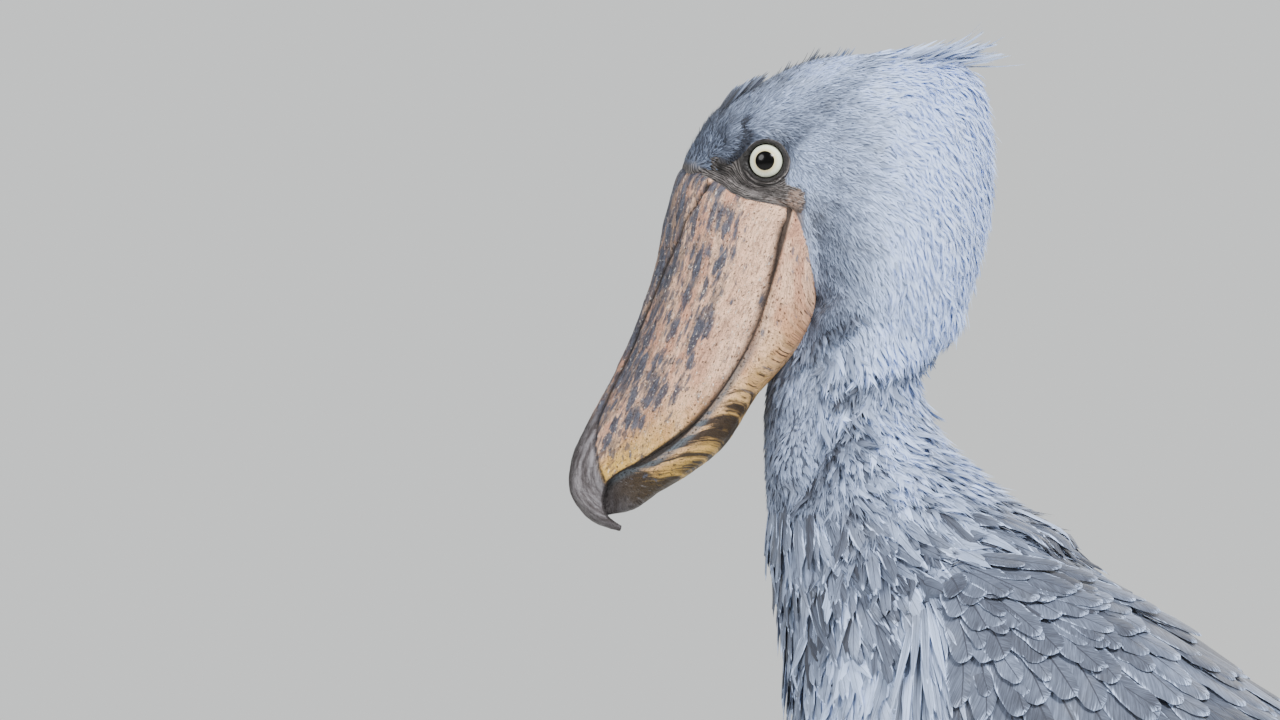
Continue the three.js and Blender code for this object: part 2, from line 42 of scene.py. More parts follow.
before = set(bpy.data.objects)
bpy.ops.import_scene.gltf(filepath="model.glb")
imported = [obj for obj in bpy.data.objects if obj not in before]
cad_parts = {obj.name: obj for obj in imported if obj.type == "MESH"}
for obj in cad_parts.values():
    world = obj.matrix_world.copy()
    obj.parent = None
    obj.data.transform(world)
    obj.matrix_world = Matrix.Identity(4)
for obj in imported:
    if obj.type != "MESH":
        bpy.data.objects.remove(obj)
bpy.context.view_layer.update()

SIDES = {"left": -1, "right": 1}
MM = 0.001

# Rings of the body, in millimetres: upper x, upper z, lower x, lower z, half width, place of the widest
# point from the lower line (0) to the upper line (1), and squareness (2 is an ellipse).
HEAD_RINGS = [
    [-159, 1104, -156, 1094, 6, 0.5, 2],
    [-153, 1117, -148, 1089, 21, 0.5, 2],
    [-141, 1133.5, -134, 1082, 34, 0.5, 2.2],
    [-114, 1149.5, -110, 1064, 46, 0.5, 2.3],
    [-86, 1162, -86, 1012, 55, 0.5, 2.3],
    [-59, 1165, -62, 984, 62, 0.52, 2.2],
    [-30, 1165.5, -34, 982, 63, 0.54, 2.1],
    [-6, 1164, -10, 994, 55, 0.54, 2.1],
    [10, 1150, 6, 1030, 40, 0.52, 2],
    [17, 1120, 16, 1072, 17, 0.5, 2],
]
NECK_RINGS = [
    [-18, 1070, -92, 1050, 44, 0.5, 2],
    [-14, 1000, -106, 1004, 50, 0.5, 2.1],
    [-22, 976, -115, 968, 46, 0.5, 2.1],
    [-10, 944, -116, 934, 50, 0.5, 2.1],
    [22, 912, -114, 898, 66, 0.52, 2.1],
    [66, 880, -108, 856, 80, 0.5, 2.1],
]
TORSO_RINGS = [
    [-16, 950, -112, 940, 40, 0.5, 2],
    [34, 902, -113, 882, 72, 0.52, 2.1],
    [88, 856, -104, 824, 94, 0.5, 2.2],
    [140, 813, -93, 752, 106, 0.5, 2.2],
    [194, 768, -68, 680, 112, 0.5, 2.2],
    [250, 721, -16, 612, 111, 0.48, 2.2],
    [306, 678, 58, 560, 101, 0.46, 2.1],
    [356, 636, 138, 528, 82, 0.46, 2],
    [400, 598, 214, 512, 60, 0.46, 2],
    [430, 570, 284, 502, 38, 0.46, 2],
    [446, 552, 344, 500, 20, 0.5, 2],
]
# Two more columns give the angles, from the upper line, of the wing's upper and lower edges, and the
# last its thickness.
WING_RINGS = [
    [40, 900, -98, 800, 95, 0.5, 2.1, 58, 84, 9],
    [96, 858, -88, 726, 114, 0.5, 2.2, 28, 99, 26],
    [162, 800, -42, 640, 127, 0.5, 2.2, 12, 113, 32],
    [246, 736, 46, 572, 128, 0.5, 2.2, 5, 120, 32],
    [334, 670, 156, 522, 106, 0.5, 2.1, 4, 118, 26],
    [420, 607, 280, 486, 76, 0.5, 2.1, 4, 112, 15],
    [508, 534, 400, 440, 50, 0.5, 2, 6, 104, 8],
    [592, 462, 508, 392, 28, 0.5, 2, 14, 96, 3],
]
WING_CORE_END = 0.74

# Bill: culmen x, z, mouth line x, z, half width. The lower mandible has the mouth line first.
UPPER_BILL_RINGS = [
    [-156, 1101, -90, 1073, 41],
    [-163.6, 1094, -97, 1071, 46.5],
    [-170.3, 1069, -104, 1062, 50],
    [-177, 1038, -110, 1036, 53],
    [-188, 1005, -118, 1008, 53],
    [-200, 979, -131, 981, 50],
    [-212, 957, -152, 953, 43],
    [-220, 941, -178, 933, 32],
    [-225, 927, -200, 920, 21],
    [-225.5, 912, -206, 912, 14],
    [-219, 900.5, -207, 903, 9],
    [-210, 893, -204.5, 896, 4.6],
    [-197.5, 889, -197, 890.8, 1],
]
LOWER_BILL_RINGS = [
    [-88, 1086, -80, 1072, 38],
    [-95, 1079, -81, 1052, 45.5],
    [-101, 1064, -82, 1024, 49],
    [-110, 1031, -86, 1006, 50],
    [-120, 1000, -98, 989, 48.5],
    [-134, 973, -118, 967, 45.5],
    [-155, 947, -135, 940, 38.5],
    [-179, 929, -153, 924, 29.5],
    [-194, 923, -175, 910.5, 20.5],
    [-205, 917, -190, 900.5, 13],
    [-211, 907, -205, 897.5, 7],
]
# Across the upper bill: share of the half width, then height between the mouth line and the culmen.
UPPER_BILL_PROFILE = [
    [0, 1], [0.07, 0.998], [0.14, 0.985], [0.21, 0.955], [0.28, 0.925], [0.38, 0.89], [0.5, 0.84],
    [0.64, 0.745], [0.76, 0.63], [0.87, 0.49], [0.94, 0.34], [0.985, 0.2],
    [1, 0.09], [1, 0.03], [0.985, 0.0], [0.94, -0.005], [0.8, 0.02], [0.4, 0.06], [0, 0.07],
]
LOWER_BILL_PROFILE = [
    [0, 0.985], [0.5, 0.985], [0.84, 0.985], [0.93, 0.98], [0.975, 0.96], [0.995, 0.88], [1, 0.7],
    [0.99, 0.5], [0.95, 0.36], [0.87, 0.21], [0.76, 0.1], [0.6, 0.03], [0.45, 0], [0.2, 0.02], [0, 0.03],
]
NOSTRIL = [[-146.5, 1089], [-155, 1075]]

# Where the bare skin of the face meets the upper bill, from the forehead to the gape: x, z.
FACE_EDGE = [
    [-172, 1098], [-163.5, 1098], [-155.4, 1096.5], [-146.6, 1092.4], [-139, 1088.5], [-133, 1083.5],
    [-125, 1080], [-116, 1078], [-109, 1076.6], [-99.8, 1074.3], [-92, 1071],
]

# The groove between the bill's ridge and its flank, from the nostril to the hook: x, z.
GROOVE = [
    [-146.5, 1089], [-152, 1080], [-160, 1067], [-163, 1058], [-170, 1043.6], [-181.5, 1015.7],
    [-192.6, 989.6], [-203.6, 967.6], [-210, 953], [-212, 938], [-209.5, 925], [-206, 917],
]

# Lines that set the plumage's tones and folds: x, z. Along the brow, chin and neck folds and below the jaw's
# edge the tone carries painted shade.
CAP_EDGE = [[-128, 1078], [-99.8, 1105.6], [-51.6, 1154.3], [-30, 1176]]  # the dark cap over the eye
BILL_BACK = [[-96, 1082], [-88.7, 1070], [-85.3, 1054.6], [-84.1, 1034], [-87, 1012], [-93, 994], [-104, 982]]
CHIN_FOLD = [[-97, 988], [-90.5, 992], [-78.3, 1003.5], [-61.8, 1012.8]]
BROW_FOLD = [[-141, 1101], [-136, 1101.5], [-130.5, 1107], [-126.5, 1115], [-127.5, 1123]]
JAW_EDGE = [[-78, 974], [-62, 979], [-40, 985.5], [-16, 996], [0, 1008]]
NECK_FOLD = [[-64, 955], [-72, 941], [-80, 928], [-90, 910]]

EYE = {"x": -113, "y": 37, "z": 1103, "turn": 12}
EYE_SEAT = (-111.8, 1101.6)  # where the eye sits on the finished face: x, z
EYE_DEPTH = 6.2  # how far out along its axis of sight the skin meets the eye
# The rim of bare skin round an eye: distance from the axis of sight, distance out along it, half sizes.
LID = {"reach": 11.3, "out": 7.3, "wide": 1.2, "high": 1.5, "steps": 120, "sides": 20}

# Warts at the gape: x, z, radius.
WARTS = [
    (-96.5, 1080.5, 2.6), (-99.8, 1078.6, 2.1), (-94.6, 1077.2, 1.9), (-98.6, 1082.6, 1.7),
    (-101.8, 1081.2, 1.6), (-97.2, 1076.6, 1.6), (-103.6, 1078.4, 1.4), (-94.0, 1083.0, 1.5),
    (-105.8, 1080.6, 1.2),
]
# The fine sheet of bare skin about an eye: its reach in x and z, and its step.
FACE_SHEET = {"x": (-150, -84), "z": (1062, 1122), "step": 0.45}

# Rounded lumps of the skin: place, half sizes, pitch. Side lumps are given for the right side.
FOREHEAD_FOOT = ([-150, 0, 1098.5], [11.5, 22, 11], 0)
SIDE_LUMPS = [
    ([-122, 33, 1118], [17, 9.5, 6.5], 24),  # brow
    ([-132.5, 28, 1117], [5.5, 13, 10], 0),  # lump before the brow
    ([-70, 42, 1015], [17, 14, 9], 38),  # fold of the chin
    ([-91, 31, 935], [29, 13, 14], 61),  # loose skin before the neck's fold
]

STRIDE = 26
HIP_Y = 54
FOOT_Y = 74
FOOT_X = 92
TOE_ROOT_Z = 13
THIGH_RINGS = [  # x, z, share of the way from hip to foot across, half depth, half width
    [64, 640, 0, 62, 42],
    [70, 560, 0.1, 64, 44],
    [84, 480, 0.25, 50, 37],
    [96, 410, 0.4, 34, 27],
    [104, 350, 0.52, 22, 18],
    [108, 306, 0.6, 14, 12],
]
SHANK_RINGS = [
    [108, 316, 0.6, 8, 7],
    [110, 278, 0.66, 8.5, 7.5],
    [112, 264, 0.69, 13, 11],
    [112.5, 252, 0.72, 14.6, 12.6],
    [111, 238, 0.75, 12, 10.6],
    [107, 208, 0.79, 9, 8],
    [100, 130, 0.88, 8.4, 7.4],
    [95, 64, 0.96, 9.4, 8.6],
    [92.5, 30, 1, 14, 13.5],
    [92, 12, 1, 17, 17],
]
TOES = {  # heading from straight ahead (positive turns out), length without claw, thickness
    "inner": [-30, 112, 8.2],
    "middle": [2, 152, 9],
    "outer": [33, 122, 8.2],
    "hind": [172, 66, 8],
}
CLAW_LENGTH = 27
CLAW_DROP = 7
CLAW_SHARE = 0.66
PAD_RADIUS = 19

TAIL = {"root": [400, 556], "slope": 45, "length": 236, "width": 40, "pairs": 6, "spread": 8.5, "drop": 2.6}
TAIL_COVERTS = [(70, 74, 7), (34, 70, 7), (0, 66, 6)]  # start down the tail, length, count

# Tiers of wing feathers, from the lowest layer up. Each has its count, where the roots and tips of its
# first and last feather lie on the wing (u, v), widths, height of the tips, and tone.
WING_TIERS = [
    (9, [[0.52, 0.42], [0.5, 0.86]], [[1.0, 0.42], [0.82, 1.02]], [27, 33], 1.0, 0.1),
    (13, [[0.46, 0.3], [0.27, 0.97]], [[0.88, 0.34], [0.55, 1.12]], [30, 33], 3.0, 0.15),
    (5, [[0.4, 0.03], [0.42, 0.3]], [[0.84, 0.05], [0.82, 0.36]], [40, 38], 4.3, 0.17),
    (15, [[0.35, 0.14], [0.16, 0.97]], [[0.57, 0.2], [0.34, 1.1]], [29, 26], 4.9, 0.22),
    (13, [[0.27, 0.08], [0.11, 0.93]], [[0.46, 0.14], [0.25, 1.04]], [29, 25], 5.6, 0.25),
    (12, [[0.22, 0.05], [0.075, 0.88]], [[0.37, 0.1], [0.185, 0.98]], [27, 23], 6.0, 0.24),
    (11, [[0.165, 0.05], [0.045, 0.82]], [[0.295, 0.09], [0.135, 0.92]], [26, 21], 6.3, 0.25),
    (10, [[0.115, 0.08], [0.02, 0.76]], [[0.23, 0.1], [0.09, 0.86]], [24, 20], 6.5, 0.24),
    (9, [[0.07, 0.1], [0.0, 0.7]], [[0.17, 0.1], [0.055, 0.78]], [22, 18], 6.6, 0.25),
    (8, [[0.03, 0.12], [0.0, 0.62]], [[0.118, 0.12], [0.03, 0.7]], [20, 17], 6.4, 0.26),
]

# Feathers strewn over the upper wing: count, box (u from, to, v from, to), length in u at the box's front
# and rear, widths there, and height of the tips.
SCAPULARS = [
    (34, [0.1, 0.5, -0.06, 0.3], [0.13, 0.3], [17, 24], 8.2),
    (46, [0.0, 0.3, -0.06, 0.48], [0.09, 0.15], [14, 19], 8.8),
    (24, [0.0, 0.1, 0.0, 0.8], [0.075, 0.09], [12, 14], 8.2),
]

# Soft plumes of the flank over the wing's lower edge: count, box, length, width, heights of root and tip.
EDGE_PLUMES = [
    (60, [0.0, 0.3, 1.0, 1.3], [0.1, 0.11], 7, -12, 4.5),
    (34, [0.0, 0.22, 0.92, 1.12], [0.08, 0.1], 6.5, -6, 6.5),
]

# Upright tufts on the crown: x, count, length, tone. Then the longest plumes of the crest.
CROWN_TUFTS = [(-106, 16, 9, 0.1), (-92, 10, 13, 0.0), (-84, 16, 8, 0.14), (-70, 14, 8, 0.4)]
STRAY_PLUMES = [  # x, y, length, rise
    (0, -5, 38, -0.08), (-10, 2, 30, 0.8), (-13, -4, 31, 0.56), (-8, 4, 27, 0.3), (-4, -8, 26, 0.16),
]

SENSOR = 36  # the camera's sensor width in millimetres
VIEW_MIDDLE = (-185.6, 987.3)  # middle of the camera's view at the bird: x, z

# Fixed colours of small marks.
LID_BLACK = (0.007, 0.006, 0.006)
SCRATCH_GREY = (0.3, 0.3, 0.33)
LOWER_MOUTH_SHADE = (0.02, 0.015, 0.013)
GROOVE_SHADE = (0.014, 0.011, 0.01)
CHIP_PALE = (0.95, 0.88, 0.8)
PIT_DARK = (0.035, 0.022, 0.016)
HOOK_RIM = (0.022, 0.017, 0.017)
IRIS_INNER = (0.66, 0.6, 0.36)
IRIS_RIM = (0.02, 0.016, 0.014)
PUPIL_BLACK = (0.002, 0.002, 0.002)
SEAM_DARK = (0.02, 0.02, 0.022)
CLAW_WORN = (0.11, 0.1, 0.09)


def ramp(low, high, values):
    """Rises smoothly from 0 at low to 1 at high."""
    share = np.clip((np.asarray(values, float) - low) / (high - low), 0, 1)
    return share * share * (3 - 2 * share)


def bell(off, width):
    """1 where off is 0, falling away evenly to both sides."""
    return np.exp(-((off / width) ** 2))


def circle(count):
    """Angles evenly round a circle."""
    return np.linspace(0, 2 * math.pi, count, endpoint=False)


def row_at(rows, t):
    """The rows at places t (0 to 1), on a smooth curve through the rows."""
    rows = np.asarray(rows, float)
    at = np.asarray(t, float) * (len(rows) - 1)
    i = np.clip(np.floor(at), 0, len(rows) - 2).astype(int)
    f = (at - i)[..., None]
    a, b, c, d = (rows[np.clip(i + k, 0, len(rows) - 1)] for k in (-1, 0, 1, 2))
    pull, push, rise = (c - a) / 2, (d - b) / 2, c - b
    return b + f * (pull + f * (3 * rise - 2 * pull - push + f * (pull + push - 2 * rise)))


def body_ring(rows, t, angles, grow=0.0):
    """Points of a body ring at angles from its upper line, moved out by grow."""
    ux, uz, lx, lz, half, widest, square = np.moveaxis(row_at(rows, t), -1, 0)[:7]
    span = np.hypot(ux - lx, uz - lz)
    dx, dz = (ux - lx) / span, (uz - lz) / span
    angles = np.asarray(angles, float)
    up = np.sign(np.cos(angles)) * np.abs(np.cos(angles)) ** (2 / square)
    side = np.sign(np.sin(angles)) * np.abs(np.sin(angles)) ** (2 / square)
    reach = np.where(up > 0, (1 - widest) * span + grow, widest * span + grow)
    along = widest * span + up * reach
    return np.stack([lx + dx * along, side * (half + grow), lz + dz * along], -1)


def near_line(line, points):
    """Distance of points from a bent line in the side view, and 1 left or -1 right of its run."""
    line = np.asarray(line, float)
    flat = points[:, [0, 2]]
    best, side = np.full(len(points), 1e9), np.zeros(len(points))
    for start, end in zip(line, line[1:]):
        run = end - start
        share = np.clip(((flat - start) @ run) / (run @ run), 0, 1)
        off = flat - start - share[:, None] * run
        far = np.hypot(*off.T)
        side = np.where(far < best, np.sign(run[0] * off[:, 1] - run[1] * off[:, 0]), side)
        best = np.minimum(best, far)
    return best, side


def eye_shift():
    """How far the packed part was moved from the drawing's own origin, in metres."""
    low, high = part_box("eye_left")
    other_low, other_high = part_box("eye_right")
    x = (low.x + high.x) / 2 - EYE["x"] * MM
    y = (low.y + high.y + other_low.y + other_high.y) / 4
    return np.array([x, y, 0.0])


SHIFT = eye_shift()


def placed(points):
    """Points in the drawing's millimetres, as metres in the part's frame."""
    return np.asarray(points, float) * MM + SHIFT


def drawn(points):
    """Points in the part's frame, as the drawing's millimetres."""
    return (np.asarray(points, float) - SHIFT) / MM


def tube(rings):
    """Points and faces of a closed form over rings of equally many points."""
    rings = np.asarray(rings, float)
    steps, count = rings.shape[:2]
    points = np.concatenate([rings.reshape(-1, 3), rings[:1].mean(1), rings[-1:].mean(1)])
    faces = []
    for i in range(steps - 1):
        for j in range(count):
            k = (j + 1) % count
            faces.append((i * count + j, i * count + k, (i + 1) * count + k, (i + 1) * count + j))
    last = (steps - 1) * count
    for j in range(count):
        k = (j + 1) % count
        faces.append((len(points) - 2, k, j))
        faces.append((len(points) - 1, last + j, last + k))
    return points, faces


def joined(forms):
    """Several (points, faces) as one."""
    points, faces, base = [], [], 0
    for form_points, form_faces in forms:
        points.append(form_points)
        faces += [tuple(v + base for v in face) for face in form_faces]
        base += len(form_points)
    return np.concatenate(points), faces


def mesh_of(name, points, faces):
    """A smooth-shaded mesh of points and faces."""
    mesh = bpy.data.meshes.new(name)
    mesh.from_pydata(np.asarray(points).tolist(), [], faces)
    mesh.validate()
    for polygon in mesh.polygons:
        polygon.use_smooth = True
    return mesh


def add_piece(name, mesh, material, nodes=()):
    """An object that rides on the bird, stands for nodes and takes its finish from a slot."""
    piece = bpy.data.objects.new(name, mesh)
    bpy.context.scene.collection.objects.link(piece)
    if material:
        mesh.materials.clear()
        mesh.materials.append(material)
    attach(piece, "root")
    if nodes:
        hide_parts(*nodes)
    return piece


def outward(mesh):
    """Turns every face of a closed mesh to point out."""
    work = bmesh.new()
    work.from_mesh(mesh)
    bmesh.ops.recalc_face_normals(work, faces=work.faces)
    work.to_mesh(mesh)
    work.free()


def fused(name, forms, voxel, rounds=4):
    """Closed forms fused to one smooth surface, as a mesh."""
    points, faces = joined(forms)
    rough = bpy.data.objects.new(name, mesh_of(name, points, faces))
    outward(rough.data)
    bpy.context.scene.collection.objects.link(rough)
    remesh = rough.modifiers.new("fuse", "REMESH")
    remesh.mode = "VOXEL"
    remesh.voxel_size = voxel * MM
    remesh.use_smooth_shade = True
    smooth = rough.modifiers.new("soften", "SMOOTH")
    smooth.factor = 0.5
    smooth.iterations = rounds
    view = bpy.context.evaluated_depsgraph_get()
    mesh = bpy.data.meshes.new_from_object(rough.evaluated_get(view))
    bpy.data.objects.remove(rough)
    mesh.name = name
    return mesh


def set_floats(mesh, name, values):
    """Keeps a number at each point of a mesh, for its material."""
    field = mesh.attributes.get(name) or mesh.attributes.new(name, "FLOAT", "POINT")
    field.data.foreach_set("value", np.asarray(values, np.float32).ravel())


def set_vectors(mesh, name, values):
    """Keeps three numbers at each point of a mesh, for its material."""
    field = mesh.attributes.get(name) or mesh.attributes.new(name, "FLOAT_VECTOR", "POINT")
    field.data.foreach_set("vector", np.asarray(values, np.float32).ravel())


def read_array(items, key, width, kind=np.float32):
    """One property of many mesh items, as rows of the given width."""
    flat = np.empty(len(items) * width, kind)
    items.foreach_get(key, flat)
    return flat.reshape(-1, width)


def mesh_points(mesh):
    """A mesh's points, in metres."""
    return read_array(mesh.vertices, "co", 3).astype(float)


def set_points(mesh, points):
    """Moves a mesh's points, in metres."""
    mesh.vertices.foreach_set("co", np.asarray(points).astype(np.float32).ravel())


# Nodes of materials


class Nodes:
    """A short way to write a node tree: each call adds a node and gives its main output."""

    def __init__(self, tree):
        self.tree = tree
        self.count = 0

    def add(self, kind, **settings):
        node = self.tree.nodes.new(kind)
        self.count += 1
        node.location = (200 * (self.count % 12), -180 * (self.count // 12))
        for key, value in settings.items():
            setattr(node, key, value)
        return node

    def feed(self, socket, value):
        """Links or sets a socket. A colour is given without its alpha, and None leaves the socket be."""
        if isinstance(value, bpy.types.NodeSocket):
            self.tree.links.new(value, socket)
        elif value is not None:
            socket.default_value = (*value, 1) if socket.type == "RGBA" else value

    def simple(self, kind, values, **settings):
        """A node whose first sockets take the values."""
        node = self.add(kind, **settings)
        for socket, value in zip(node.inputs, values):
            self.feed(socket, value)
        return node.outputs[0]

    def math(self, operation, *values, clamp=False):
        return self.simple("ShaderNodeMath", values, operation=operation, use_clamp=clamp)

    def times(self, a, b):
        return self.math("MULTIPLY", a, b)

    def plus(self, a, b):
        return self.math("ADD", a, b)

    def scaled(self, a, factor, base, clamp=False):
        """Base plus factor times a."""
        return self.math("MULTIPLY_ADD", a, factor, base, clamp=clamp)

    def swung(self, a, factor, base):
        """Base plus factor times how far a lies over a half."""
        return self.scaled(self.math("SUBTRACT", a, 0.5), factor, base)

    def vector(self, operation, a, b):
        return self.simple("ShaderNodeVectorMath", (a, b), operation=operation)

    def pack(self, x, y, z):
        return self.simple("ShaderNodeCombineXYZ", (x, y, z))

    def split(self, vector):
        node = self.add("ShaderNodeSeparateXYZ")
        self.feed(node.inputs[0], vector)
        return node.outputs

    def noise(self, vector, scale, detail=2.0, rough=0.55, warp=0.0):
        node = self.add("ShaderNodeTexNoise")
        self.feed(node.inputs["Vector"], vector)
        for key, value in (("Scale", scale), ("Detail", detail), ("Roughness", rough), ("Distortion", warp)):
            self.feed(node.inputs[key], value)
        return node.outputs["Fac"]

    def grain(self, vector, stretch, *noise):
        """Noise drawn out along the vector's first part, the more the smaller stretch is."""
        return self.noise(self.vector("MULTIPLY", vector, (stretch, 1.0, 1.0)), *noise)

    def cells(self, vector, scale, **settings):
        node = self.add("ShaderNodeTexVoronoi", **settings)
        self.feed(node.inputs["Vector"], vector)
        self.feed(node.inputs["Scale"], scale)
        return node.outputs

    def spread(self, value, low, high, to_low=0.0, to_high=1.0, smooth=True):
        """Value as it rises from low to high, as a share from to_low to to_high."""
        kind = "SMOOTHSTEP" if smooth else "LINEAR"
        return self.simple("ShaderNodeMapRange", (value, low, high, to_low, to_high), interpolation_type=kind)

    def mix(self, share, a, b):
        node = self.add("ShaderNodeMix", data_type="RGBA")
        self.feed(node.inputs["Factor"], share)
        for key, value in (("A", a), ("B", b)):
            self.feed(next(s for s in node.inputs if s.name == key and s.type == "RGBA"), value)
        return next(s for s in node.outputs if s.type == "RGBA")

    def field(self, name, kind="Vector"):
        node = self.add("ShaderNodeAttribute", attribute_name=name)
        return node.outputs[kind]

    def place(self):
        return self.add("ShaderNodeTexCoord").outputs["Object"]

    def bump(self, height, strength, distance):
        node = self.add("ShaderNodeBump")
        for key, value in (("Strength", strength), ("Distance", distance), ("Height", height)):
            self.feed(node.inputs[key], value)
        return node.outputs[0]

    def group(self, group, **inputs):
        node = self.add("ShaderNodeGroup")
        node.node_tree = group
        for key, value in inputs.items():
            self.feed(node.inputs[key.replace("_", " ")], value)
        return node.outputs


def shader_group(name, inputs, outputs):
    """Turns a writer of nodes into a function that gives its node group, made at the first call."""

    def wrap(write):
        def group():
            if name in bpy.data.node_groups:
                return bpy.data.node_groups[name]
            made = bpy.data.node_groups.new(name, "ShaderNodeTree")
            for key, (kind, default) in inputs.items():
                socket = made.interface.new_socket(key, in_out="INPUT", socket_type="NodeSocket" + kind)
                if default is not None:
                    socket.default_value = default
            for key, kind in outputs.items():
                made.interface.new_socket(key, in_out="OUTPUT", socket_type="NodeSocket" + kind)
            nodes = Nodes(made)
            write(nodes, nodes.add("NodeGroupInput").outputs, nodes.add("NodeGroupOutput").inputs)
            return made

        return group

    return wrap


@shader_group(
    "Feather barbs",
    {
        "Vane": ("Vector", None), "Length": ("Float", 5.0), "Slant": ("Float", 0.3),
        "Density": ("Float", 8.0), "Rim": ("Float", 1.0), "Tip": ("Float", 0.5),
    },
    {"Barbs": "Float", "Edge": "Float", "Shaft": "Float", "Along": "Float"},
)
def barbs_group(nodes, given, out):
    """Barbs of a feather, from its vane field: x along (0 to 1), y across (-1 to 1), z its own number."""
    along, across, number = nodes.split(given["Vane"])[:3]
    off = nodes.math("ABSOLUTE", across)
    slid = nodes.math("SUBTRACT", along, nodes.times(off, given["Slant"]))
    seat = nodes.pack(
        nodes.times(slid, given["Length"]),
        nodes.times(across, given["Density"]),
        nodes.times(number, 37.0),
    )
    barbs = nodes.noise(seat, 1.0, 3.0, 0.62)
    nodes.feed(out["Barbs"], barbs)
    rag = nodes.noise(nodes.vector("MULTIPLY", seat, (2.0, 0.3, 1.0)), 1.0, 2.0)
    rim = nodes.math("MAXIMUM", off, nodes.spread(along, given["Tip"], 1.0, 0.0, 1.0, smooth=False))
    rim = nodes.scaled(rag, 0.5, rim)
    rim = nodes.spread(rim, given["Rim"], nodes.plus(given["Rim"], 0.16))
    nodes.feed(out["Edge"], nodes.times(rim, nodes.spread(barbs, 0.4, 0.58, 0.35, 1.0)))
    thin = nodes.scaled(along, -0.07, 0.11)
    nodes.feed(out["Shaft"], nodes.math("SUBTRACT", 1.0, nodes.spread(off, 0.0, thin), clamp=True))
    nodes.feed(out["Along"], along)


@shader_group(
    "Plumage colour",
    {
        "Tone": ("Float", 0.5), "Place": ("Vector", None), "Dark": ("Color", (0, 0, 0, 1)),
        "Pale": ("Color", (1, 1, 1, 1)), "Warm": ("Color", (1, 1, 1, 1)),
    },
    {"Colour": "Color"},
)
def plumage_group(nodes, given, out):
    """Colour of plumage from its tone: 0 is the dark, 1 the pale, with patches of weathered grey."""
    share = nodes.math("POWER", nodes.math("MAXIMUM", given["Tone"], 0.0), 1.6, clamp=True)
    colour = nodes.mix(share, given["Dark"], given["Pale"])
    patch = nodes.spread(nodes.noise(given["Place"], 48.0, 2.0), 0.5, 0.75, 0.0, 0.16)
    warm = nodes.mix(share, nodes.mix(0.75, given["Warm"], (0.0, 0.0, 0.0)), given["Warm"])
    nodes.feed(out["Colour"], nodes.mix(patch, colour, warm))


@shader_group(
    "Soft mottle",
    {"Vector": ("Vector", None), "Scale": ("Float", 20.0), "Amount": ("Float", 0.2)},
    {"Change": "Float"},
)
def mottle_group(nodes, given, out):
    """Soft cloudy change of tone over a surface, about 0."""
    broad = nodes.noise(given["Vector"], given["Scale"], 3.0, 0.6)
    nodes.feed(out["Change"], nodes.times(nodes.math("SUBTRACT", broad, 0.5), given["Amount"]))


def new_material(name, colour, roughness, **sockets):
    """A material with its shader, and the writer for its nodes."""
    material = bpy.data.materials.new(name)
    material.use_nodes = True
    material.diffuse_color = (*colour, 1)
    tree = material.node_tree
    shader = next(n for n in tree.nodes if n.type == "BSDF_PRINCIPLED")
    shader.inputs["Base Color"].default_value = (*colour, 1)
    shader.inputs["Roughness"].default_value = roughness
    for key, value in sockets.items():
        shader.inputs[key.replace("_", " ")].default_value = value
    return material, Nodes(tree), shader


def finish(nodes, shader, colour, roughness, height, strength, depth):
    """Joins colour, roughness and a bump of the height to the shader. Roughness None leaves it even."""
    nodes.feed(shader.inputs["Base Color"], colour)
    nodes.feed(shader.inputs["Roughness"], roughness)
    nodes.feed(shader.inputs["Normal"], nodes.bump(height, strength, depth))


def plumage_colour(nodes, props, tone, place):
    """The coat's colour for a tone."""
    looks = {"Dark": props.dark, "Pale": props.pale, "Warm": props.warm}
    return nodes.group(plumage_group(), Tone=tone, Place=place, **looks)["Colour"]


def plumage_material(name, props, length, slant, density, rim, tip, shaft, fringe, barb_bump, streak, tips):
    """Feathers: dark to pale by their tone, barbs, a dark shaft, paler edges and tips; where tips is above 0
    each root is darkened as painted shade under the feathers lying over it.
    """
    material, nodes, shader = new_material(
        name, props.pale, 0.7, Sheen_Weight=0.12, Sheen_Roughness=0.5, Specular_IOR_Level=0.3
    )
    vane = nodes.field("vane")
    lie = {"Length": length, "Slant": slant, "Density": density, "Rim": rim, "Tip": tip}
    barbs = nodes.group(barbs_group(), Vane=vane, **lie)
    place = nodes.place()
    cloud = nodes.group(mottle_group(), Vector=place, Scale=52.0, Amount=0.26)["Change"]
    tone = nodes.plus(nodes.field("tone", "Fac"), cloud)
    tone = nodes.swung(barbs["Barbs"], streak, tone)
    # Tips ramps the tone along each feather: above 0 the root darkens, a painted shade where other feathers
    # cover it, and the tip pales; below 0 it runs the other way.
    tone = nodes.swung(barbs["Along"], tips, tone)
    tone = nodes.scaled(barbs["Edge"], fringe, tone)
    tone = nodes.scaled(barbs["Shaft"], -shaft, tone, clamp=True)
    colour = plumage_colour(nodes, props, tone, place)
    height = nodes.scaled(barbs["Shaft"], 0.8, barbs["Barbs"])
    finish(nodes, shader, colour, None, height, barb_bump, 0.0005)
    return material


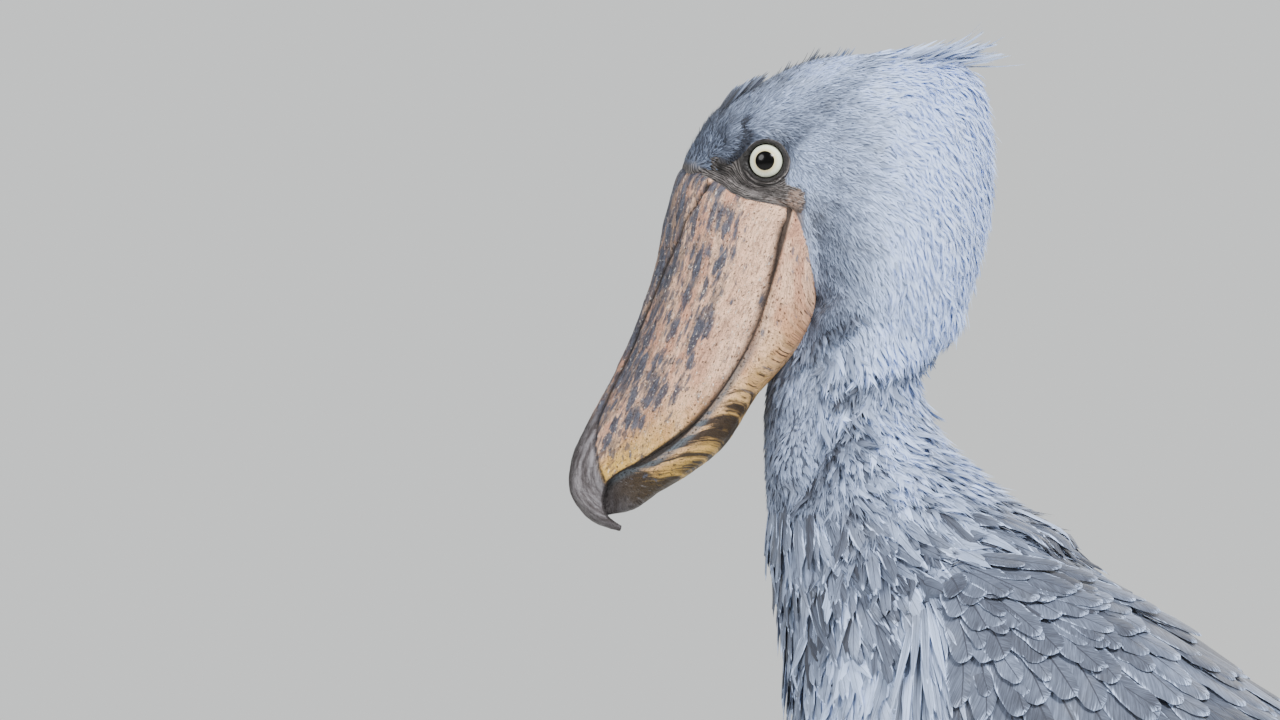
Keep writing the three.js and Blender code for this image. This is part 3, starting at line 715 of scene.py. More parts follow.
def skin_material(props):
    """Under-down in the coat's own tones, which the skin carries darkened as painted shade between the
    feathers, and bare wrinkled skin about the eye and gape with painted shade in its creases and folds.
    """
    material, nodes, shader = new_material("bird_skin", props.dark, 0.75, Specular_IOR_Level=0.35)
    place = nodes.place()
    cloud = nodes.group(mottle_group(), Vector=place, Scale=60.0, Amount=0.3)["Change"]
    tone = nodes.math("ADD", nodes.field("tone", "Fac"), cloud, clamp=True)
    down = plumage_colour(nodes, props, tone, place)
    naked, pink, black = nodes.split(nodes.field("bare"))[:3]
    along, across = nodes.split(nodes.field("fold"))[:2]
    sway = nodes.noise(nodes.pack(along, nodes.times(across, 3.0), 0.0), 1.6, 3.0, 0.6)
    phase = nodes.scaled(sway, 16.0, nodes.times(across, 52.0))
    lines = nodes.spread(nodes.math("SINE", phase), -0.95, 0.2)
    fine = nodes.noise(nodes.vector("MULTIPLY", nodes.field("fold"), (3.0, 26.0, 1.0)), 1.0, 2.0, 0.6)
    lines = nodes.times(lines, nodes.spread(fine, 0.25, 0.6, 0.45, 1.0))
    grain = nodes.noise(place, 900.0, 3.0, 0.6)
    # The wrinkles' narrow creases take the dark skin colour as painted shade; elsewhere the bare skin keeps
    # its own colour.
    hide = nodes.mix(lines, props.skin_dark, props.skin_light)
    hide = nodes.mix(nodes.spread(nodes.noise(place, 160.0, 3.0), 0.4, 0.68, 0.0, 0.6), hide, props.skin_dark)
    warts = nodes.spread(nodes.noise(place, 520.0, 2.0), 0.36, 0.6, 0.25, 1.0)
    hide = nodes.mix(nodes.times(pink, warts), hide, props.gape)
    hide = nodes.mix(nodes.spread(grain, 0.5, 0.75, 0.0, 0.5), hide, props.skin_dark)
    # Black: the eye's dark rim, with painted shade in the fold below the eye and along the upper lid.
    hide = nodes.mix(black, hide, LID_BLACK)
    rough = nodes.scaled(naked, -0.3, 0.8)
    height = nodes.times(nodes.scaled(grain, 0.3, lines), naked)
    finish(nodes, shader, nodes.mix(naked, down, hide), rough, height, 0.7, 0.0007)
    return material


@shader_group(
    "Horn spots",
    {
        "Run": ("Vector", None), "Stretch": ("Float", 0.5), "Scale": ("Float", 2.0),
        "Density": ("Float", 0.0), "Soft": ("Float", 0.05),
    },
    {"Spots": "Float"},
)
def spots_group(nodes, given, out):
    """Separate spots stretched along a horn, with grainy edges, larger and more where density is high."""
    seat = nodes.vector("MULTIPLY", given["Run"], nodes.pack(given["Stretch"], 1.0, 0.0))
    seat = nodes.vector("MULTIPLY", seat, nodes.pack(given["Scale"], given["Scale"], 0.0))
    bend = nodes.noise(seat, 1.7, 2.0, 0.6)
    other = nodes.noise(nodes.vector("ADD", seat, (31.7, 11.3, 0.0)), 1.7, 2.0, 0.6)
    sway = nodes.pack(nodes.times(bend, 0.9), nodes.times(other, 0.9), 0.0)
    cell = nodes.cells(nodes.vector("ADD", seat, sway), 1.0, feature="F1", voronoi_dimensions="2D")
    size = nodes.split(cell["Color"])[0]
    grain = nodes.noise(nodes.vector("MULTIPLY", given["Run"], (0.5, 1.0, 0.0)), 17.0, 3.0, 0.75)
    field = nodes.math("SUBTRACT", nodes.scaled(size, 0.62, given["Density"]), cell["Distance"])
    field = nodes.swung(grain, 0.42, field)
    nodes.feed(out["Spots"], nodes.spread(field, 0.0, given["Soft"]))


def bill_material(name, props, lower):
    """Horn: salmon with dark spots along the bill, yellow toward the tip and dark at the hook, with painted
    shade in the groove and along the mouth line, and a painted highlight in the hook's pale worn horn.
    """
    material, nodes, shader = new_material(name, props.bill, 0.5, Specular_IOR_Level=0.3)
    run = nodes.field("run")  # centimetres along and round, and share of the way along
    along, round_, share = nodes.split(run)[:3]
    edge, nail, line = nodes.split(nodes.field("zone"))[:3]
    cloud = nodes.grain(run, 0.5, 0.9, 3.0)
    base = nodes.mix(nodes.spread(cloud, 0.38, 0.58), props.bill, props.bill_light)

    def spots(stretch, scale, density, soft):
        shape = {"Stretch": stretch, "Scale": scale, "Density": density, "Soft": soft}
        return nodes.group(spots_group(), Run=run, **shape)["Spots"]

    if not lower:
        bright = nodes.times(nodes.spread(edge, 0.5, 0.8), nodes.spread(share, 0.5, 0.3, 0.0, 0.8))
        base = nodes.mix(bright, base, props.bill_light)
    streaks = nodes.grain(run, 0.16, 9.0, 4.0, 0.7)
    base = nodes.mix(nodes.spread(streaks, 0.42, 0.68, 0.0, 0.55), base, props.bill_brown)
    shade = nodes.grain(run, 0.5, 3.4, 5.0, 0.75)
    tan = nodes.mix(nodes.spread(shade, 0.46, 0.68, 0.0, 0.65), base, props.bill_brown)
    turned = nodes.add("ShaderNodeVectorRotate", rotation_type="Z_AXIS")
    nodes.feed(turned.inputs["Vector"], nodes.pack(along, nodes.math("ABSOLUTE", round_), 0.0))
    nodes.feed(turned.inputs["Angle"], math.radians(42))
    if lower:
        keel = nodes.times(nodes.spread(share, 0.2, 0.75), nodes.spread(edge, 0.75, 0.25, 0.35, 1.0))
        base = nodes.mix(nodes.times(keel, 0.95), tan, props.yellow)
        smear = nodes.grain(turned.outputs[0], 0.2, 1.6, 3.0, 0.6, 0.1)
        fine = nodes.grain(turned.outputs[0], 0.25, 6.0, 3.0, 0.6)
        reach = nodes.swung(fine, 0.22, smear)
        reach = nodes.plus(reach, nodes.spread(share, 0.35, 0.58, -0.2, 0.05, smooth=False))
        reach = nodes.plus(reach, nodes.spread(share, 0.74, 0.88, 0.0, 0.34))
        reach = nodes.scaled(edge, -0.08, reach)
        colour = nodes.mix(nodes.spread(reach, 0.45, 0.58, 0.0, 0.95), base, props.smudge)
        scratch = nodes.grain(turned.outputs[0], 0.3, 7.0, 4.0, 0.8)
        scratch = nodes.times(nodes.spread(scratch, 0.54, 0.68, 0.0, 0.5), nodes.spread(share, 0.72, 0.86))
        colour = nodes.mix(scratch, colour, SCRATCH_GREY)
        few = spots(0.5, 2.2, nodes.spread(share, 0.0, 0.4, -0.16, -0.34), 0.16)
        colour = nodes.mix(nodes.times(few, 0.75), colour, props.blotch_light)
        blue = nodes.times(line, nodes.spread(streaks, 0.3, 0.7, 0.9, 0.5))
        colour = nodes.mix(blue, colour, props.bill_blue)
        # Painted shade: the lower bill goes near black along its top, where it tucks under the upper bill.
        close = nodes.plus(edge, nodes.spread(share, 0.0, 0.4, -0.09, 0.0, smooth=False))
        mouth_shade = nodes.spread(close, 0.78, 0.83, 0.0, 0.95)
        colour = nodes.mix(mouth_shade, colour, LOWER_MOUTH_SHADE)
    else:
        low = nodes.times(nodes.spread(share, 0.4, 0.66), nodes.spread(edge, 0.25, 0.75))
        base = nodes.mix(nodes.times(low, 0.92), tan, props.yellow)
        ridge = nodes.spread(edge, 0.06, 0.24, 0.2, 0.0)
        crowd = nodes.plus(nodes.spread(edge, 0.5, 0.85, 0.08, -0.34), ridge)
        crowd = nodes.swung(cloud, 0.9, crowd)
        stain = nodes.grain(run, 0.4, 1.3, 6.0, 0.78)
        stain = nodes.scaled(crowd, 0.5, stain)
        base = nodes.mix(nodes.spread(stain, 0.47, 0.66, 0.0, 0.8), base, props.stain)
        many = spots(0.32, 1.5, nodes.plus(crowd, 0.05), 0.3)
        small = spots(0.4, 3.0, nodes.math("SUBTRACT", crowd, 0.04), 0.26)
        spotted = nodes.math("MAXIMUM", many, nodes.times(small, 0.8))
        slate = nodes.mix(nodes.spread(shade, 0.4, 0.65), props.blotch, props.blotch_light)
        colour = nodes.mix(nodes.times(spotted, 0.92), base, slate)
        chips = nodes.spread(nodes.grain(run, 0.7, 5.0, 4.0, 0.75), 0.6, 0.68)
        colour = nodes.mix(nodes.times(chips, 0.8), colour, CHIP_PALE)
        bars = nodes.grain(turned.outputs[0], 0.22, 4.2, 2.0, 0.5)
        band = nodes.times(nodes.spread(share, 0.5, 0.62), nodes.spread(edge, 0.25, 0.4))
        bars = nodes.times(nodes.spread(bars, 0.53, 0.62, 0.0, 0.7), band)
        colour = nodes.mix(bars, colour, props.bill_brown)
        # Painted shade in the groove, the nostril and along the mouth line.
        colour = nodes.mix(nodes.times(line, 0.97), colour, GROOVE_SHADE)
    specks = nodes.grain(run, 0.7, 15.0, 3.0, 0.7)
    pits = nodes.math("MAXIMUM", nodes.spread(specks, 0.57, 0.65, 0.0, 0.8), spots(0.7, 5.2, -0.3, 0.12))
    colour = nodes.mix(nodes.times(pits, 0.85), colour, PIT_DARK)
    # The nail's horn: dark and pale bluish grey mixed by noise; the pale grey is worn horn and a painted
    # highlight.
    worn = nodes.grain(run, 0.3, 2.2, 5.0, 0.7)
    worn = nodes.mix(nodes.spread(worn, 0.34, 0.7), props.hook, props.hook_wear_and_highlight)
    worn = nodes.mix(nodes.spread(streaks, 0.5, 0.7, 0.0, 0.45), worn, props.hook)
    # The hook darkens toward its ridge; on the upper bill the line adds painted shade in the groove and at
    # the mouth.
    rims = nodes.math("MAXIMUM", nodes.spread(nodes.math("ABSOLUTE", round_), 0.2, 1.2, 0.85, 0.0), line)
    worn = nodes.mix(nodes.times(rims, 0.9), worn, HOOK_RIM)
    if lower:
        worn = nodes.mix(0.8, worn, props.smudge)
    gloss = nodes.times(nail, -0.12)
    rough = nodes.plus(nodes.spread(streaks, 0.3, 0.75, 0.36, 0.58), gloss)
    height = nodes.scaled(cloud, 0.6, nodes.times(streaks, 0.8))
    height = nodes.scaled(pits, -1.0, height)
    height = nodes.scaled(shade, 0.7, height)
    height = nodes.scaled(nodes.noise(run, 14.0, 3.0, 0.7), 0.6, height)
    finish(nodes, shader, nodes.mix(nail, colour, worn), rough, height, 0.8, 0.0011)
    return material


def eye_material(props):
    """Pale iris with a dark rim, a black pupil and a wet surface."""
    material, nodes, shader = new_material(
        "bird_eye", props.iris, 0.2, Specular_IOR_Level=0.1, Coat_Weight=0.16, Coat_Roughness=0.03
    )
    polar = nodes.field("polar")  # millimetres off the axis of sight, turn about it
    off, turn = nodes.split(polar)[:2]
    rays = nodes.noise(nodes.pack(nodes.times(off, 0.5), nodes.times(turn, 9.0), 0.0), 1.6, 4.0, 0.7)
    iris = nodes.mix(nodes.spread(rays, 0.3, 0.75), props.iris, props.iris_shade)
    pupil, edge = props.pupil * 1000, props.iris_radius * 1000
    inner = nodes.spread(off, pupil + 0.2, pupil + 2.4)
    iris = nodes.mix(inner, IRIS_INNER, iris)
    iris = nodes.mix(nodes.spread(off, edge - 1.1, edge - 0.4), iris, IRIS_RIM)
    hole = nodes.spread(off, pupil - 0.15, pupil + 0.15)
    nodes.feed(shader.inputs["Base Color"], nodes.mix(hole, PUPIL_BLACK, iris))
    return material


def leg_material(props):
    """Bare scaly skin of legs and toes."""
    material, nodes, shader = new_material("leg_skin", props.leg, 0.6, Specular_IOR_Level=0.35)
    place = nodes.place()
    wide = nodes.vector("MULTIPLY", place, (1.0, 1.0, 1.35))
    seams = nodes.spread(nodes.cells(wide, 190.0, feature="DISTANCE_TO_EDGE")["Distance"], 0.0, 0.14)
    tint = nodes.noise(place, 70.0, 4.0, 0.6)
    base = nodes.mix(nodes.spread(tint, 0.3, 0.7), props.leg, props.leg_light)
    rough = nodes.spread(tint, 0.2, 0.8, 0.45, 0.72)
    height = nodes.plus(seams, nodes.times(nodes.noise(place, 420.0, 2.0), 0.3))
    finish(nodes, shader, nodes.mix(seams, SEAM_DARK, base), rough, height, 0.8, 0.0012)
    return material


def claw_material(props):
    """Dark horn with a fine grain along the claw."""
    material, nodes, shader = new_material("claw_horn", props.claw, 0.35)
    place = nodes.place()
    grain = nodes.noise(nodes.vector("MULTIPLY", place, (1.0, 6.0, 6.0)), 60.0, 3.0)
    rough = nodes.spread(grain, 0.2, 0.8, 0.25, 0.5)
    finish(nodes, shader, nodes.mix(grain, props.claw, CLAW_WORN), rough, grain, 0.3, 0.0005)
    return material


def floor_material(props):
    """A plain floor with a faint cloudiness."""
    material, nodes, shader = new_material("studio_floor", props.floor, 0.8)
    place = nodes.place()
    cloud = nodes.group(mottle_group(), Vector=place, Scale=1.2, Amount=0.06)["Change"]
    light = nodes.mix(nodes.plus(cloud, 0.5), tuple(c * 0.96 for c in props.floor), props.floor)
    nodes.feed(shader.inputs["Base Color"], light)
    return material


# The lie of the coat and its tones


def ring_place(rows, points, samples=90):
    """For points in millimetres: place along the rings, height share in its ring, and the lie there."""
    at = np.linspace(0, 1, samples)
    table = np.array([row_at(rows, t)[:4] for t in at])
    upper, lower = table[:, :2], table[:, 2:4]
    span = upper - lower
    length = np.hypot(*span.T)
    rel = points[:, None][:, :, [0, 2]] - lower[None]
    share = (rel * span).sum(-1) / length**2
    off = np.abs(rel[..., 0] * span[:, 1] - rel[..., 1] * span[:, 0]) / length
    off += 80 * np.maximum(0, np.maximum(-share, share - 1))
    best = off.argmin(1)
    pick = np.clip(share[np.arange(len(points)), best], 0, 1)[:, None]
    lie = np.gradient(lower, axis=0)[best] * (1 - pick) + np.gradient(upper, axis=0)[best] * pick
    lie /= np.linalg.norm(lie, axis=1, keepdims=True) + 1e-9
    return at[best], pick[:, 0], lie


def lie_of_coat(points):
    """The direction, in the side plane, in which the feathers lie at points in millimetres."""
    x, z = points[:, 0], points[:, 2]
    head = ring_place(HEAD_RINGS, points)[2]
    fall = ramp(-95, 5, x) * 0.75 + ramp(1100, 1010, z) * 0.55
    fall = np.clip(fall, 0, 0.94)[:, None]
    head = head * (1 - fall) + np.array([0.12, -1.0]) * fall
    neck = ring_place(NECK_RINGS, points)[2]
    torso = ring_place(TORSO_RINGS, points)[2]
    w_head = ramp(972, 1000, z)[:, None]
    w_torso = 1 - ramp(880, 925, z)[:, None]
    flat = head * w_head + (1 - w_head) * (torso * w_torso + neck * (1 - w_torso))
    leg = on_leg(points)[:, None]
    flat = flat * (1 - leg) + np.array([0.1, -1.0]) * leg
    lie = np.stack([flat[:, 0], np.zeros(len(points)), flat[:, 1]], -1)
    return lie / (np.linalg.norm(lie, axis=1, keepdims=True) + 1e-9)


def on_leg(points):
    """1 on the feathered thighs, 0 on the body."""
    lower = np.array([row_at(TORSO_RINGS, v)[2:4] for v in np.linspace(0, 1, 60)])
    line = np.interp(points[:, 0], lower[8:, 0], lower[8:, 1])
    return ramp(6, -14, points[:, 2] - line) * (points[:, 0] < 180) * (points[:, 2] < 620)


def tone_of_coat(points):
    """How pale the plumage is at points in millimetres: 0 is dark slate, 1 the palest blue-grey. Along the
    brow, chin and neck folds and just below the jaw's edge it is darkened as painted shade.
    """
    x, _, z = points.T
    cap_off, side = near_line(CAP_EDGE, points)
    cap = ramp(-2, 4, cap_off * side)
    off, side = near_line(BILL_BACK, points)
    behind = ramp(38, 6, off) * (side > 0) * ramp(1086, 1070, z) * ramp(978, 990, z)
    nape = ramp(-74, -22, x)
    ear = ramp(24, 12, np.abs(np.hypot(x + 52, z - 1100) - 14))
    head = 0.67 + 0.42 * nape - 0.08 * ear * (1 - nape) - 0.34 * behind
    off, side = near_line(CHIN_FOLD, points)
    # Along the chin fold the tone darkens as painted shade in the crease; below it the neck is paler.
    chin = -0.4 * bell(off, 1.8) + 0.2 * ramp(14, 5, off) * (side < 0) * ramp(1, 3, off)
    head += chin * ramp(975, 985, z)
    rear = ramp(-135, -75, x)
    rim = 0.4 * ramp(24, 5, cap_off) * ramp(-122, -98, x) * ramp(-36, -56, x)
    head = head * (1 - cap) + (0.32 + 0.56 * rear - rim) * cap
    # Painted shade along the brow's crease, where the ridge overhangs the eye.
    head -= 0.6 * bell(near_line(BROW_FOLD, points)[0], 2.2)
    stripe = 0.2 * ramp(16, 4, np.abs(x + 40 + (z - 930) * 0.2))
    neck = 0.55 + 0.2 * ramp(-80, 0, x) - 0.1 * ramp(-96, -108, x) + stripe
    # Painted shade in the neck's fold.
    neck = neck - 0.4 * bell(near_line(NECK_FOLD, points)[0], 2.6)
    t, share, _ = ring_place(TORSO_RINGS, points)
    body = 0.32 - 0.18 * ramp(0.6, 0.85, share) + 0.18 * ramp(0.35, 0.1, share) * ramp(0.35, 0.6, t)
    body += 0.62 * bell(z - 812, 23) * ramp(-96, -76, x) * ramp(0.75, 0.6, share)
    body += 0.2 * ramp(790, 770, z) * ramp(0.75, 0.6, share)
    w_head = ramp(960, 996, z)
    w_torso = 1 - ramp(890, 925, z)
    tone = head * w_head + (1 - w_head) * (body * w_torso + neck * (1 - w_torso))
    # Painted shadow on the neck just below the jaw's edge, under the fringe of tufts hanging over it.
    off, side = near_line(JAW_EDGE, points)
    tone = tone - 0.42 * ramp(-13, -6, off * side) * ramp(2, -2, off * side) * ramp(-80, -68, x)
    return tone + wavy(points, 0.16, 42, 8) + wavy(points, 0.16, 15, 9)


def above_bill_edge(points):
    """Height over the line where the face meets the upper bill, in millimetres."""
    off, side = near_line(FACE_EDGE, points)
    return off * side


def eye_distance(points):
    """Distance from the nearer eye's axis of sight, in millimetres."""
    turn = math.radians(EYE["turn"])
    across = np.abs(points[:, 1]) - EYE["y"]
    ahead, up = points[:, 0] - EYE_SEAT[0], points[:, 2] - EYE_SEAT[1]
    side = ahead * math.cos(turn) + across * math.sin(turn)
    return np.hypot(side, up)


def bare_skin(points):
    """How bare, how pink and how black the skin is at points in millimetres. Besides the eye's dark rim, the
    corner and the seam at the bill, the black holds painted shade in the fold below the eye and under the
    brow along the upper lid.
    """
    x, y, z = points.T
    rise = above_bill_edge(points)
    far = eye_distance(points)
    strip = ramp(15, 10, rise) * ramp(-148, -141, x) * ramp(-90, -96, x)
    cere = ramp(5, 2, rise) * ramp(-138, -142, x)
    under_eye = ramp(18.5, 14.5, far) * ramp(1102, 1096, z) * ramp(-98, -105, x)
    brim = 12.2 + 1.3 * ramp(1108, 1099, z)
    ring = ramp(brim + 1, brim, far)
    lid = z - (1100.5 + (x + 134.4) * 0.58)
    corner = ramp(-138, -134, x) * ramp(-115, -119, x) * ramp(0.6, -0.6, lid)
    gape = ramp(6.4, 3.4, np.hypot(x + 96.5, z - 1079.5) + wavy(points, 1.6, 5, 12))
    naked = np.clip(strip + cere + under_eye + ring + corner + gape, 0, 1) * ((np.abs(y) > 18) | (x < -140))
    naked = naked * ramp(-9, -5, rise)
    # The black fold arc below the eye is painted shade in its crease, and the line along the upper lid is
    # painted shade under the brow's overhang.
    fold = bell(far - 14.2, 0.7) * ramp(1106, 1098, z)
    upper = bell(lid, 0.9) * ramp(-138, -134, x) * ramp(-117, -121, x)
    nook = bell(np.hypot(x + 139.5, (z - 1098.5) * 0.6), 3.6)
    seam = 0.5 * ramp(2.2, 0.8, rise) * ramp(0, 0.8, rise)
    black = np.clip(ramp(12.6, 11.6, far) + fold + upper + nook + seam, 0, 1)
    pink = 0.8 * gape + 0.4 * ramp(6, 1, rise) * ramp(-118, -98, x)
    return naked, np.clip(pink, 0, 1), black


# Pieces


def wing_surface(hand, u, v, height):
    """Points of the folded wing's outer surface, from shoulder to tip (u) and upper to lower edge (v)."""
    u, v, height = np.broadcast_arrays(np.asarray(u, float), v, height)
    row = row_at(WING_RINGS, u)
    angle = np.radians(row[..., 7] + (row[..., 8] - row[..., 7]) * v)
    out = body_ring(WING_RINGS, u, angle, height)
    out[..., 1] *= hand
    return out


def wing_core(hand):
    """The thick part of a folded wing, under its feathers."""
    across = np.linspace(0, 1, 15)
    rings = []
    for u in np.linspace(0.0, WING_CORE_END, 26):
        deep = row_at(WING_RINGS, u)[9]
        outer = wing_surface(hand, np.full(15, u), across, -4.0)
        inner = wing_surface(hand, np.full(9, u), np.linspace(0.9, 0.1, 9), -4.0 - deep * 0.7)
        rings.append(np.concatenate([outer, inner]))
    return tube(rings)


def leg_ring(rows, hand, t, angles, grow=0.0):
    """A ring of a leg at place t of its rows, with its share of the stride."""
    x, z, share, deep, wide = row_at(rows, t)
    stride = -STRIDE if hand < 0 else STRIDE
    bare = rows is SHANK_RINGS
    swing = stride * (0.5 + 0.5 * min(1, max(0, (306 - z) / 266)) if bare else 0.5 * max(0, (560 - z) / 254))
    y = hand * (HIP_Y + (FOOT_Y - HIP_Y) * share)
    ahead, across = (deep + grow) * np.cos(angles), (wide + grow) * np.sin(angles)
    return np.stack([x + swing + ahead, y + across, np.full(len(angles), z)], -1)


def tail_core():
    """The fleshy root of the tail, under its coverts."""
    slope = math.radians(TAIL["slope"])
    angles = circle(24)
    rings = []
    for t in np.linspace(0, 1, 10):
        along = -36 + (TAIL["length"] + 52) * 0.36 * t
        half, deep = 24 + 10 * t, 13 * (1 - 0.8 * t)
        lift = deep * np.cos(angles) - 5
        x = TAIL["root"][0] + along * math.cos(slope) + lift * math.sin(slope)
        z = TAIL["root"][1] - along * math.sin(slope) + lift * math.cos(slope)
        rings.append(np.stack([x, half * np.sin(angles), z], -1))
    return tube(rings)


def pebble(place, size, pitch):
    """A closed rounded lump at a place, its long axis tipped up by pitch degrees in the side view."""
    spin = circle(20)
    turn = math.radians(pitch)
    rings = []
    for tilt in np.linspace(0.08, math.pi - 0.08, 12):
        long = size[0] * math.cos(tilt)
        up = size[2] * math.sin(tilt) * np.cos(spin)
        ring = np.stack(
            [
                long * math.cos(turn) - up * math.sin(turn),
                size[1] * math.sin(tilt) * np.sin(spin),
                long * math.sin(turn) + up * math.cos(turn),
            ],
            -1,
        )
        rings.append(ring + place)
    return tube(rings)


def eye_socket(points):
    """How far out the surface lies round an eye, and how much it counts, at points in millimetres."""
    turn = math.radians(EYE["turn"])
    behind = points[:, 0] - EYE_SEAT[0] + EYE_DEPTH * math.sin(turn)
    across = EYE["y"] + EYE_DEPTH * math.cos(turn) + math.tan(turn) * behind
    return across, ramp(19, 12.5, eye_distance(points))


def eye_frame(hand):
    """An eye's centre, its axis of sight and the level direction across it."""
    turn = math.radians(EYE["turn"])
    axis = np.array([-math.sin(turn), hand * math.cos(turn), 0])
    level = np.array([math.cos(turn), hand * math.sin(turn), 0])
    return np.array([EYE_SEAT[0], hand * EYE["y"], EYE_SEAT[1]]), axis, level


def build_skin(props):
    """One skin over head, neck, torso, wings and thighs."""
    angles = circle(56)
    forms = []
    for rows, steps, grow in ((HEAD_RINGS, 60, -1.6), (NECK_RINGS, 36, -3.5), (TORSO_RINGS, 90, -6.0)):
        forms.append(tube([body_ring(rows, t, angles, grow) for t in np.linspace(0, 1, steps)]))
    forms.append(pebble(*FOREHEAD_FOOT))
    for hand in SIDES.values():
        forms.append(tube([leg_ring(THIGH_RINGS, hand, t, angles, -4.5) for t in np.linspace(0, 1, 40)]))
        forms.append(wing_core(hand))
        forms += [pebble([x, hand * y, z], size, pitch) for (x, y, z), size, pitch in SIDE_LUMPS]
    forms.append(tail_core())
    forms = [(placed(points), faces) for points, faces in forms]
    mesh = fused("skin", forms, props.skin_voxel * 1000)
    points = drawn(mesh_points(mesh))
    out, weight = eye_socket(points)
    across = np.abs(points[:, 1])
    weight = weight * (across > 24)
    crease = bell(near_line(NECK_FOLD, points)[0], 4) * (across > 15) * 3
    seated = across + weight * (np.minimum(across, out - 1.4) - across)
    points[:, 1] = np.sign(points[:, 1]) * (seated - crease)
    set_points(mesh, placed(points))
    mesh.update()
    # The skin takes the coat's tone darkened, more so low on the body: painted shade in the gaps between the
    # feathers.
    set_floats(mesh, "tone", tone_of_coat(points) * (0.3 + 0.36 * ramp(930, 990, points[:, 2])))
    naked, pink, black = bare_skin(points)
    set_vectors(mesh, "bare", np.stack([naked, pink, black], -1))
    set_vectors(mesh, "fold", points / 10)
    nodes = ("head", "neck", "torso", "thigh_left", "thigh_right")
    piece = add_piece("skin", mesh, skin_material(props), nodes)
    bpy.context.view_layer.objects.active = piece
    piece.select_set(True)
    bpy.ops.object.mode_set(mode="EDIT")
    bpy.ops.mesh.select_all(action="SELECT")
    bpy.ops.uv.smart_project(angle_limit=math.radians(72), island_margin=0.004)
    bpy.ops.object.mode_set(mode="OBJECT")
    piece.data.uv_layers[0].name = "OFBake"
    piece.select_set(False)
    return piece


class Ground:
    """The skin as the ground that feathers grow on: triangles, their normals and their place on its map."""

    def __init__(self, piece):
        mesh = piece.data
        mesh.calc_loop_triangles()
        self.points = mesh_points(mesh)
        self.tri = read_array(mesh.loop_triangles, "vertices", 3, np.int32)
        loops = read_array(mesh.loop_triangles, "loops", 3, np.int32)
        self.uv = read_array(mesh.uv_layers["OFBake"].data, "uv", 2)[loops]
        self.normals = read_array(mesh.vertex_normals, "vector", 3).astype(float)
        a, b, c = (self.points[self.tri[:, k]] for k in range(3))
        self.area = np.linalg.norm(np.cross(b - a, c - a), axis=1) / 2
        self.tree = BVHTree.FromPolygons(self.points.tolist(), self.tri.tolist())

    def scatter(self, spacing, draw, keep):
        """Roots about spacing (in metres) apart: points, normals and map places."""
        wanted = int(self.area.sum() / spacing**2 * 3.2)
        pick = draw.choice(len(self.tri), wanted, p=self.area / self.area.sum())
        share = draw.random((wanted, 2))
        share = np.where(share.sum(1, keepdims=True) > 1, 1 - share, share)
        weights = np.stack([1 - share.sum(1), share[:, 0], share[:, 1]], -1)[:, :, None]
        roots = (self.points[self.tri[pick]] * weights).sum(1)
        cell = np.floor(roots / spacing).astype(int)
        first = np.unique(cell, axis=0, return_index=True)[1]
        first = first[keep(drawn(roots[first]), draw)]
        normals = (self.normals[self.tri[pick[first]]] * weights[first]).sum(1)
        normals /= np.linalg.norm(normals, axis=1, keepdims=True)
        return roots[first], normals, (self.uv[pick[first]] * weights[first]).sum(1)

    def lay(self, points, heights):
        """Moves points onto the skin, then up by heights, in metres."""
        flat = points.reshape(-1, 3)
        raised = heights.reshape(-1)
        out = np.empty_like(flat)
        find = self.tree.find_nearest
        for i, (x, y, z) in enumerate(flat.tolist()):
            spot, normal, _, _ = find((x, y, z))
            h = raised[i]
            out[i] = (spot[0] + normal[0] * h, spot[1] + normal[1] * h, spot[2] + normal[2] * h)
        return out.reshape(points.shape)


